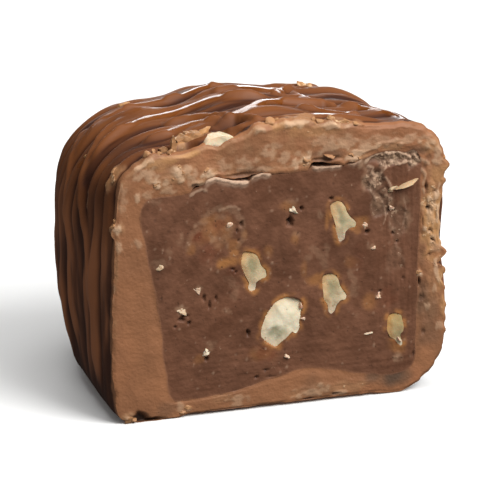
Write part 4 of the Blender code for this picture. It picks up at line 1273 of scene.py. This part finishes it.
# Broken slabs behind the rim: corners as (x, z), how far behind the cut they start and end, golden.
SHARDS = (
    (((-8.8, 24.85), (-8.95, 25.05), (-8.6, 25.2), (-8.3, 25.4), (-7.8, 25.35), (-7.3, 25.6),
      (-6.75, 25.5), (-6.4, 25.25), (-6.6, 24.7), (-7.2, 24.55), (-7.6, 24.85),
      (-8.2, 24.75)), 1.7, 3.2, 1.0),
    (((-8.3, 24.4), (-8.1, 25.5), (-7.6, 25.6), (-7.3, 25.3), (-7.2, 24.4)), 2.4, 3.2, 0.9),
    (((-9.82, 24.0), (-9.84, 25.0), (-9.7, 25.8), (-9.52, 25.85), (-9.4, 25.2), (-9.3, 24.4),
      (-9.3, 24.0)), 0.9, 1.25, 1.0),
    (((-10.7, 23.9), (-10.7, 24.6), (-10.3, 24.8), (-9.9, 24.5), (-9.9, 23.9)), 1.2, 1.7, 0.9),
    (((-11.5, 23.8), (-11.4, 24.45), (-11.1, 24.55), (-10.9, 24.3), (-10.9, 23.8)), 1.9, 2.3, 0.5),
)


CRUMB_MASKS = {"cut": 1.0, "crumbly": 0.9}
SHARD_MASKS = {"cut": 1.0, "crumbly": 0.25, "shade": 0.2, "blush": 0.25}


def add_shard(corners, near, far, golden, seed):
    """A broken slab: its outline extruded backwards, divided, and roughened all over."""
    clear_selection()
    bpy.ops.mesh.primitive_circle_add(vertices=len(corners), radius=1.0, fill_type="NGON")
    shard = bpy.context.object
    place_vertices(shard, standing(np.array(corners[::-1]), CUT_Y + near))
    start_edit(shard)
    bpy.ops.mesh.select_all(action="SELECT")
    extrude_backwards(far - near)
    bpy.ops.mesh.select_all(action="SELECT")
    bpy.ops.mesh.quads_convert_to_tris()
    bpy.ops.mesh.subdivide(number_cuts=3)
    end_edit()
    points = vertex_places(shard)
    shove = np.stack([lumps(points, 0.45, seed + k) for k in range(3)], axis=1)
    place_vertices(shard, points + 0.13 * shove)
    add_even_masks(shard, CHOCOLATE_MASKS, {**SHARD_MASKS, "golden": golden})
    return shard


# Crumbs that stand at the cut face of the coating: x, z, length, height, turn, golden.
RIM_CRUMBS = (
    (-14.2, 0.35, 0.6, 0.6, 20.0, 0.3), (-13.7, 0.25, 0.4, 0.35, 0.0, 0.3),
    (-9.3, 0.5, 0.6, 0.5, 20.0, 0.2), (-8.7, 0.8, 0.5, 0.4, -20.0, 0.4),
    (-9.5, 23.3, 0.45, 0.35, 30.0, 0.2), (-9.2, 22.8, 0.6, 0.4, -15.0, 0.2),
    (-10.0, 22.3, 0.4, 0.35, 0.0, 0.2), (-7.1, 22.7, 0.6, 0.4, 20.0, 0.2),
    (-6.5, 22.4, 0.5, 0.3, -20.0, 0.2), (-11.4, 21.8, 0.5, 0.4, 0.0, 0.2), (2.4, 22.9, 0.5, 0.4, 0.0, 0.2),
    (2.1, 22.4, 0.35, 0.3, 0.0, 0.2), (4.6, 23.0, 1.1, 0.4, -8.0, 0.0), (6.6, 22.9, 0.6, 0.5, 10.0, 0.2),
    (7.3, 22.5, 0.4, 0.4, 30.0, 0.2), (13.1, 11.3, 0.5, 0.4, 30.0, 0.4),
)


def make_rim_crumbs(out):
    pieces = []
    for number, (around, reach, length, width, height, turn, golden) in enumerate(OUTSIDE_CRUMBS):
        spot = np.argmin(np.abs(out["reach"] - reach)), np.argmin(np.abs(ROUND - around))
        outward = out["normals"][spot]
        centre = out["points"][spot] + SHIFT - outward * 0.04 * height
        axes = turned((0.0, 1.0, 0.0), outward, 90.0 + turn)
        pieces.append((add_crumb(centre, (length, width, height), axes, 2.3 * number + 5.0), golden))
    for number, (x, z, length, height, turn, golden) in enumerate(RIM_CRUMBS):
        pieces.append((add_cut_crumb(x, z, length, height, turn, (0.3, 0.0), 1.9 * number + 90.0), golden))
    for crumb, golden in pieces:
        add_even_masks(crumb, CHOCOLATE_MASKS, {**CRUMB_MASKS, "golden": golden})
    crumbs = [crumb for crumb, _ in pieces]
    crumbs += [add_shard(*shard, 1.3 * number + 50.0) for number, shard in enumerate(SHARDS)]
    joined = join_as("rim_crumbs", crumbs)
    shade(joined, 55.0)
    return joined


# ---------------------------------------------------------------- materials


MOTTLE_INPUTS = (("Mass", "Color"), ("Pale Grain", "Color"), ("Dark Grain", "Color"),
                 ("Pale Share", "Float"), ("Dark Share", "Float"))
BUMP_STRENGTH = 0.7

# Colours, as linear red, green and blue.
SKIN_DARK, SKIN_WARM = (0.096, 0.026, 0.005), (0.140, 0.041, 0.008)
# Painted shade for the skin's grooves and painted light for its crests.
SKIN_GROOVE_SHADE, SKIN_CREST_LIGHT = (0.046, 0.011, 0.003), (0.198, 0.061, 0.012)
SKIN_SHADE = (0.040, 0.010, 0.003)
# Lower skin, painted with sheen-like tones: painted shade for the grooves, painted light for the crests.
LOW_GROOVE_SHADE, LOW_CREST_LIGHT = (0.062, 0.020, 0.009), (0.275, 0.098, 0.036)
CUT_MASS, CRUMBLY_MASS = (0.272, 0.112, 0.046), (0.345, 0.172, 0.078)
GOLDEN_MASS, BLUSHED_MASS, SHADED_MASS = (0.44, 0.22, 0.085), (0.31, 0.122, 0.050), (0.105, 0.056, 0.031)
COATING_GRAINS = (0.66, 0.44, 0.255), (0.17, 0.075, 0.036)
# The second colour is painted shade for hollows and dents.
BLOOM, PAINTED_HOLLOW_SHADE = (0.56, 0.365, 0.225), (0.030, 0.012, 0.006)
FUDGE_DARK, FUDGE_LIGHT = (0.118, 0.046, 0.022), (0.168, 0.070, 0.036)
TORN_FUDGE, CARAMEL, REDDISH = (0.155, 0.084, 0.049), (0.38, 0.158, 0.046), (0.150, 0.042, 0.017)
FUDGE_BORDER, NUT_MEAL = (0.225, 0.10, 0.048), (0.33, 0.195, 0.115)
FUDGE_GRAINS = (0.46, 0.30, 0.19), (0.055, 0.024, 0.012)
# The second colour is painted shade for pits and grooves, also given to dark specks.
FRINGE, PIT_SHADE_AND_DARK_GRAIN, LIP = (0.54, 0.355, 0.235), (0.035, 0.014, 0.007), (0.74, 0.50, 0.345)
FRESH_NUT = (0.66, 0.58, 0.41), (0.80, 0.71, 0.53)
STEEPED_NUT = (0.29, 0.20, 0.085), (0.42, 0.31, 0.145)
# The next three are given for a fresh nut and for a browned one.
CLEAR_AND_SHADED_NUT = (0.36, 0.325, 0.20), (0.235, 0.205, 0.10)
NUT_RIND = (0.78, 0.60, 0.40), (0.52, 0.27, 0.085)
NUT_PALE_GRAIN = (0.78, 0.69, 0.51), (0.56, 0.44, 0.26)
NUT_DARK_GRAIN, ROSY_NUT = (0.30, 0.19, 0.085), (0.60, 0.385, 0.265)


def new_material(name):
    material = bpy.data.materials.new(name)
    material.use_nodes = True
    tree = material.node_tree
    return material, tree, tree.nodes["Principled BSDF"]


def node(tree, kind, **settings):
    made = tree.nodes.new(kind)
    for key, value in settings.items():
        setattr(made, key, value)
    return made


def feed(tree, socket, value):
    """Links or sets a socket: value may be another socket, a number or a colour."""
    if isinstance(value, bpy.types.NodeSocket):
        tree.links.new(value, socket)
    elif isinstance(value, (int, float)):
        socket.default_value = value
    else:
        socket.default_value = (*value, 1.0)


def mixed(tree, share, low, high, kind, first):
    mix = node(tree, "ShaderNodeMix", data_type=kind)
    for place, value in ((0, share), (first, low), (first + 1, high)):
        feed(tree, mix.inputs[place], value)
    return next(output for output in mix.outputs if output.enabled)


def mixed_colour(tree, share, low, high):
    return mixed(tree, share, low, high, "RGBA", 6)


def mixed_value(tree, share, low, high):
    return mixed(tree, share, low, high, "FLOAT", 2)


def calculated(tree, operation, first, second=0.0, clamp=False):
    maths = node(tree, "ShaderNodeMath", operation=operation, use_clamp=clamp)
    feed(tree, maths.inputs[0], first)
    feed(tree, maths.inputs[1], second)
    return maths.outputs[0]


def scaled(tree, value, gain, start=None, clamp=False):
    """The value times gain, counted from start where there is one."""
    product = calculated(tree, "MULTIPLY", value, gain, clamp)
    return product if start is None else calculated(tree, "ADD", start, product)


def greatest(tree, first, second):
    return calculated(tree, "MAXIMUM", first, second)


def layered(tree, colour, *layers):
    """Lays colours over the first one: each layer has its mask, its greatest share and its colour."""
    for mask, most, over in layers:
        colour = mixed_colour(tree, mask if most == 1.0 else scaled(tree, mask, most), colour, over)
    return colour


def noise_value(tree, size_mm, detail=2.0, stretch=(1.0, 1.0, 1.0)):
    """Noise with features of this size, fixed to the piece."""
    place = node(tree, "ShaderNodeTexCoord")
    mapping = node(tree, "ShaderNodeMapping")
    mapping.inputs["Scale"].default_value = stretch
    tree.links.new(place.outputs["Object"], mapping.inputs["Vector"])
    texture = node(tree, "ShaderNodeTexNoise")
    texture.inputs["Scale"].default_value = 1.0 / (size_mm * MM)
    texture.inputs["Detail"].default_value = detail
    tree.links.new(mapping.outputs["Vector"], texture.inputs["Vector"])
    return texture.outputs["Fac"]


def step_between(tree, value, low, high):
    """0 below low, 1 above high."""
    ranged = node(tree, "ShaderNodeMapRange", interpolation_type="SMOOTHSTEP")
    feed(tree, ranged.inputs["Value"], value)
    ranged.inputs["From Min"].default_value = low
    ranged.inputs["From Max"].default_value = high
    return ranged.outputs["Result"]


def attribute_value(tree, name):
    return node(tree, "ShaderNodeAttribute", attribute_name=name).outputs["Fac"]


def finish_surface(tree, surface, colour, roughness, reflection, height, depth_mm):
    """Feeds colour, roughness and bumps to the surface, and sets how strongly it reflects."""
    feed(tree, surface.inputs["Base Color"], colour)
    feed(tree, surface.inputs["Roughness"], roughness)
    surface.inputs["Specular IOR Level"].default_value = reflection
    bump = node(tree, "ShaderNodeBump")
    bump.inputs["Strength"].default_value = BUMP_STRENGTH
    bump.inputs["Distance"].default_value = depth_mm * MM
    tree.links.new(height, bump.inputs["Height"])
    tree.links.new(bump.outputs["Normal"], surface.inputs["Normal"])


def grains(group, field, start, steepness):
    """Where a field of noise rises above its start, with soft edges."""
    return calculated(group, "MULTIPLY", calculated(group, "SUBTRACT", field, start), steepness, clamp=True)


def mottle_group():
    """Shared by all cut surfaces: grains of fat and sugar that are paler or darker than the mass."""
    group = bpy.data.node_groups.new("mottled_grain", "ShaderNodeTree")
    for name, kind, way in (*((name, kind, "INPUT") for name, kind in MOTTLE_INPUTS),
                            ("Colour", "Color", "OUTPUT"), ("Grain", "Float", "OUTPUT")):
        group.interface.new_socket(name, in_out=way, socket_type="NodeSocket" + kind)
    given, result = node(group, "NodeGroupInput").outputs, node(group, "NodeGroupOutput").inputs
    fine = noise_value(group, 0.3)
    pale_field = scaled(group, calculated(group, "ADD", noise_value(group, 0.8, 3.0), fine), 0.5)
    pale = grains(group, pale_field, mixed_value(group, given["Pale Share"], 0.72, 0.42), 8.0)
    dark_field = calculated(group, "SUBTRACT", 1.0, noise_value(group, 0.42))
    dark = grains(group, dark_field, mixed_value(group, given["Dark Share"], 0.76, 0.44), 6.0)
    clouded = node(group, "ShaderNodeHueSaturation")
    feed(group, clouded.inputs["Color"], given["Mass"])
    feed(group, clouded.inputs["Value"], mixed_value(group, noise_value(group, 3.2, 3.0), 0.68, 1.32))
    colour = layered(group, clouded.outputs["Color"], (dark, 1.0, given["Dark Grain"]),
                     (pale, 1.0, given["Pale Grain"]))
    feed(group, result["Colour"], colour)
    raised = scaled(group, fine, 0.6, start=scaled(group, pale, 0.4))
    feed(group, result["Grain"], calculated(group, "SUBTRACT", raised, scaled(group, dark, 0.4)))
    return group


def mottled(tree, group, *values):
    """Colour and grain of a mass: its colour, its pale and dark grains, and how much there is of them."""
    used = node(tree, "ShaderNodeGroup")
    used.node_tree = group
    for (name, _), value in zip(MOTTLE_INPUTS, values):
        feed(tree, used.inputs[name], value)
    return used.outputs["Colour"], used.outputs["Grain"]


def coating_material(group):
    """Glossy tempered skin outside; matte, grainy and paler where it is cut."""
    material, tree, surface = new_material("milk_chocolate")
    cut, crumbly, golden, pale, blush, shaded, hollow_painted_shade, smear, painted_crest_and_groove, shiny, low_matte_and_painted_sheen = (
        attribute_value(tree, name) for name in CHOCOLATE_MASKS)
    skin = mixed_colour(tree, noise_value(tree, 4.0, 3.0), SKIN_DARK, SKIN_WARM)
    # Painted shade in the grooves between strings; painted light on their crests is laid over below.
    skin = mixed_colour(tree, step_between(tree, painted_crest_and_groove, 0.0, 0.45), SKIN_GROOVE_SHADE, skin)
    # Lower skin: duller, sheen-like painted tones, with painted shade in its grooves and painted light on
    # its crests.
    low_skin_sheen_and_shade = mixed_colour(tree, step_between(tree, painted_crest_and_groove, 0.1, 1.0), LOW_GROOVE_SHADE, LOW_CREST_LIGHT)
    # Laid over: painted light on the crests, painted shade in the shaded places, then the painted lower
    # skin.
    skin = layered(tree, skin, (painted_crest_and_groove, 0.7, SKIN_CREST_LIGHT), (shaded, 0.8, SKIN_SHADE),
                   (low_matte_and_painted_sheen, 1.0, low_skin_sheen_and_shade))
    broken = step_between(tree, noise_value(tree, 1.1, 3.0), 0.36, 0.6)
    clump = scaled(tree, crumbly, broken, clamp=True)
    mass = mixed_colour(tree, crumbly, CUT_MASS, CRUMBLY_MASS)
    mass = layered(tree, mass, (golden, 1.0, GOLDEN_MASS), (blush, 1.0, BLUSHED_MASS),
                   (shaded, 1.0, SHADED_MASS))
    pale_share = scaled(tree, greatest(tree, clump, scaled(tree, golden, 0.45)), 0.7, start=0.12)
    dark_share = scaled(tree, crumbly, 0.18, start=0.15)
    face, grain = mottled(tree, group, mass, *COATING_GRAINS, pale_share, dark_share)
    # Painted shade in the hollows and dents, laid over the smears and bloom.
    face = layered(tree, face, (smear, 1.0, FUDGE_LIGHT), (pale, 0.85, BLOOM), (hollow_painted_shade, 1.0, PAINTED_HOLLOW_SHADE))
    hollow = greatest(tree, low_matte_and_painted_sheen, scaled(tree, shaded, 1.6, clamp=True))
    matte = scaled(tree, noise_value(tree, 2.4), 0.24, start=mixed_value(tree, hollow, 0.48, 0.7))
    roughness = mixed_value(tree, cut, mixed_value(tree, shiny, matte, 0.14), 0.6)
    height = mixed_value(tree, cut, scaled(tree, noise_value(tree, 0.9), 0.3), grain)
    finish_surface(tree, surface, mixed_colour(tree, cut, skin, face), roughness, 0.42, height, 0.12)
    return material


def fudge_material(group):
    """Dense matte fudge with knife streaks, caramel stains and a torn, crumbly corner."""
    material, tree, surface = new_material("fudge")
    torn, stain, reddened, smeared, pale, lip, dark, border, level_cut, upright_cut = (
        attribute_value(tree, name) for name in FUDGE_MASKS)
    upright = noise_value(tree, 1.1, 3.0, stretch=(2.4, 1.0, 0.3))
    level = noise_value(tree, 1.2, 3.0, stretch=(0.25, 1.0, 2.4))
    streaks = mixed_value(tree, upright_cut, noise_value(tree, 1.6, 4.0), upright)
    streaks = mixed_value(tree, scaled(tree, level_cut, 0.6), streaks, level)
    mass = mixed_colour(tree, step_between(tree, streaks, 0.25, 0.75), FUDGE_DARK, FUDGE_LIGHT)
    mass = layered(tree, mass, (torn, 1.0, TORN_FUDGE), (stain, 0.85, CARAMEL), (reddened, 0.85, REDDISH),
                   (border, 0.5, FUDGE_BORDER), (smeared, 0.85, NUT_MEAL))
    stirred = greatest(tree, smeared, greatest(tree, stain, reddened))
    busy = greatest(tree, torn, scaled(tree, stirred, 0.5))
    colour, grain = mottled(tree, group, mass, *FUDGE_GRAINS, scaled(tree, busy, 0.6, start=0.16),
                            scaled(tree, busy, 0.3, start=0.22))
    # The pale mask holds painted light on forward torn fibres, the dark mask painted shade in pits and
    # grooves; both also hold real grains.
    colour = layered(tree, colour, (pale, 0.85, FRINGE), (dark, 0.75, PIT_SHADE_AND_DARK_GRAIN), (lip, 1.0, LIP))
    finish_surface(tree, surface, colour, scaled(tree, streaks, 0.25, start=0.46), 0.25,
                   scaled(tree, streaks, 0.4, start=grain), 0.1)
    return material


def nut_material(group):
    """Cream nut flesh, greener and browner where it has steeped, with a caramel rind."""
    material, tree, surface = new_material("nut_flesh")
    browning_and_shade, rind, shadow, rosy = (attribute_value(tree, name) for name in NUT_MASKS)
    cloud = noise_value(tree, 1.4)
    fresh = mixed_colour(tree, step_between(tree, cloud, 0.35, 0.65), *FRESH_NUT)
    # Browning, with painted shade towards the tops of the chips.
    flesh = mixed_colour(tree, browning_and_shade, fresh, mixed_colour(tree, cloud, *STEEPED_NUT))
    # See-through flesh and painted shade in the shadow places, then the rind and rosy places.
    flesh = layered(tree, flesh, (shadow, 1.0, mixed_colour(tree, browning_and_shade, *CLEAR_AND_SHADED_NUT)),
                    (rind, 0.85, mixed_colour(tree, browning_and_shade, *NUT_RIND)), (rosy, 1.0, ROSY_NUT))
    pale_grain = mixed_colour(tree, browning_and_shade, *NUT_PALE_GRAIN)
    colour, grain = mottled(tree, group, flesh, pale_grain, NUT_DARK_GRAIN, 0.3, 0.25)
    finish_surface(tree, surface, colour, scaled(tree, grain, 0.25, start=0.38), 0.3, grain, 0.08)
    surface.inputs["Subsurface Weight"].default_value = 0.12
    surface.inputs["Subsurface Scale"].default_value = 0.8 * MM
    return material


def floor_material():
    material, _, surface = new_material("pale_floor")
    surface.inputs["Base Color"].default_value = (0.86, 0.86, 0.85, 1.0)
    surface.inputs["Roughness"].default_value = 0.8
    surface.inputs["Specular IOR Level"].default_value = 0.1
    return material


# ---------------------------------------------------------------- studio

CAMERA_TARGET = (0.55, -2.83, 11.98)
CAMERA_AZIMUTH = -18.55
CAMERA_ELEVATION = 17.69
CAMERA_DISTANCE = 320.0
FRAMING = 1.95
LENS_AT_ONE = 129.5
SENSOR_WIDTH = 36.0
WORLD_STRENGTH = 0.32
WORLD_MIRRORED = 0.04


# Lights: name, centre, width and height, power, and whether the chocolate mirrors them.
LAMPS = (
    ("key_softbox", (200.0, -260.0, 330.0), (260.0, 260.0), 2.6, True),
    ("overhead_softbox", (0.0, -60.0, 450.0), (320.0, 320.0), 1.0, False),
    ("rear_left_strip", (-20.0, 300.0, 150.0), (60.0, 90.0), 0.05, True),
    ("rear_strip", (80.0, 300.0, 95.0), (90.0, 150.0), 0.16, True),
    ("rear_low_strip", (150.0, 330.0, 28.0), (110.0, 50.0), 0.07, True),
)
LAMP_TARGET = (0.0, 0.0, 12.0)


def add_softbox(name, centre, size, power, mirrored):
    light = bpy.data.lights.new(name, "AREA")
    light.shape = "RECTANGLE"
    light.size, light.size_y = size[0] * MM, size[1] * MM
    light.energy = power
    lamp = bpy.data.objects.new(name, light)
    bpy.context.scene.collection.objects.link(lamp)
    lamp.location = Vector(centre) * MM
    lamp.rotation_euler = (Vector(LAMP_TARGET) - Vector(centre)).to_track_quat("-Z", "Y").to_euler()
    if not mirrored:
        lamp.visible_glossy = False


def add_camera():
    camera = bpy.data.cameras.new("camera")
    camera.sensor_width = SENSOR_WIDTH
    camera.lens = LENS_AT_ONE * FRAMING
    camera.clip_start = 0.01
    holder = bpy.data.objects.new("camera", camera)
    bpy.context.scene.collection.objects.link(holder)
    azimuth, elevation = math.radians(CAMERA_AZIMUTH), math.radians(CAMERA_ELEVATION)
    backwards = Vector((math.sin(azimuth) * math.cos(elevation), -math.cos(azimuth) * math.cos(elevation),
                        math.sin(elevation)))
    holder.location = (Vector(CAMERA_TARGET) + backwards * CAMERA_DISTANCE) * MM
    holder.rotation_euler = (-backwards).to_track_quat("-Z", "Y").to_euler()
    bpy.context.scene.camera = holder


def add_studio():
    clear_selection()
    bpy.ops.mesh.primitive_plane_add(size=4.0, location=(0.0, 0.0, 0.0))
    floor = bpy.context.object
    floor.name = "floor"
    floor.data.materials.append(floor_material())
    floor.visible_glossy = False
    floor.visible_diffuse = False
    world = bpy.data.worlds.new("studio")
    world.use_nodes = True
    tree = world.node_tree
    backdrop = tree.nodes["Background"]
    backdrop.inputs["Color"].default_value = (1.0, 1.0, 1.0, 1.0)
    mirrored = node(tree, "ShaderNodeLightPath").outputs["Is Glossy Ray"]
    feed(tree, backdrop.inputs["Strength"], mixed_value(tree, mirrored, WORLD_STRENGTH, WORLD_MIRRORED))
    bpy.context.scene.world = world
    for lamp in LAMPS:
        add_softbox(*lamp)
    bpy.context.scene.view_settings.view_transform = "Standard"


# ---------------------------------------------------------------- putting it together


def dress(piece, material, slot, *nodes):
    piece.data.materials.clear()
    piece.data.materials.append(material)
    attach(piece, "root")
    if nodes:
        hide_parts(*nodes)


def main():
    group = mottle_group()
    chocolate, nut_flesh = coating_material(group), nut_material(group)
    out = coating_outside()
    dress(make_coating(out), chocolate, "coating", "coating")
    dress(make_rim_crumbs(out), chocolate, "coating")
    dress(make_fudge(), fudge_material(group), "fudge", "fudge_centre")
    for name in NUT_CORNERS:
        dress(make_nut(name), nut_flesh, "nut", name)
    dress(make_nut_crumbs(), nut_flesh, "nut")
    add_studio()
    add_camera()


main()
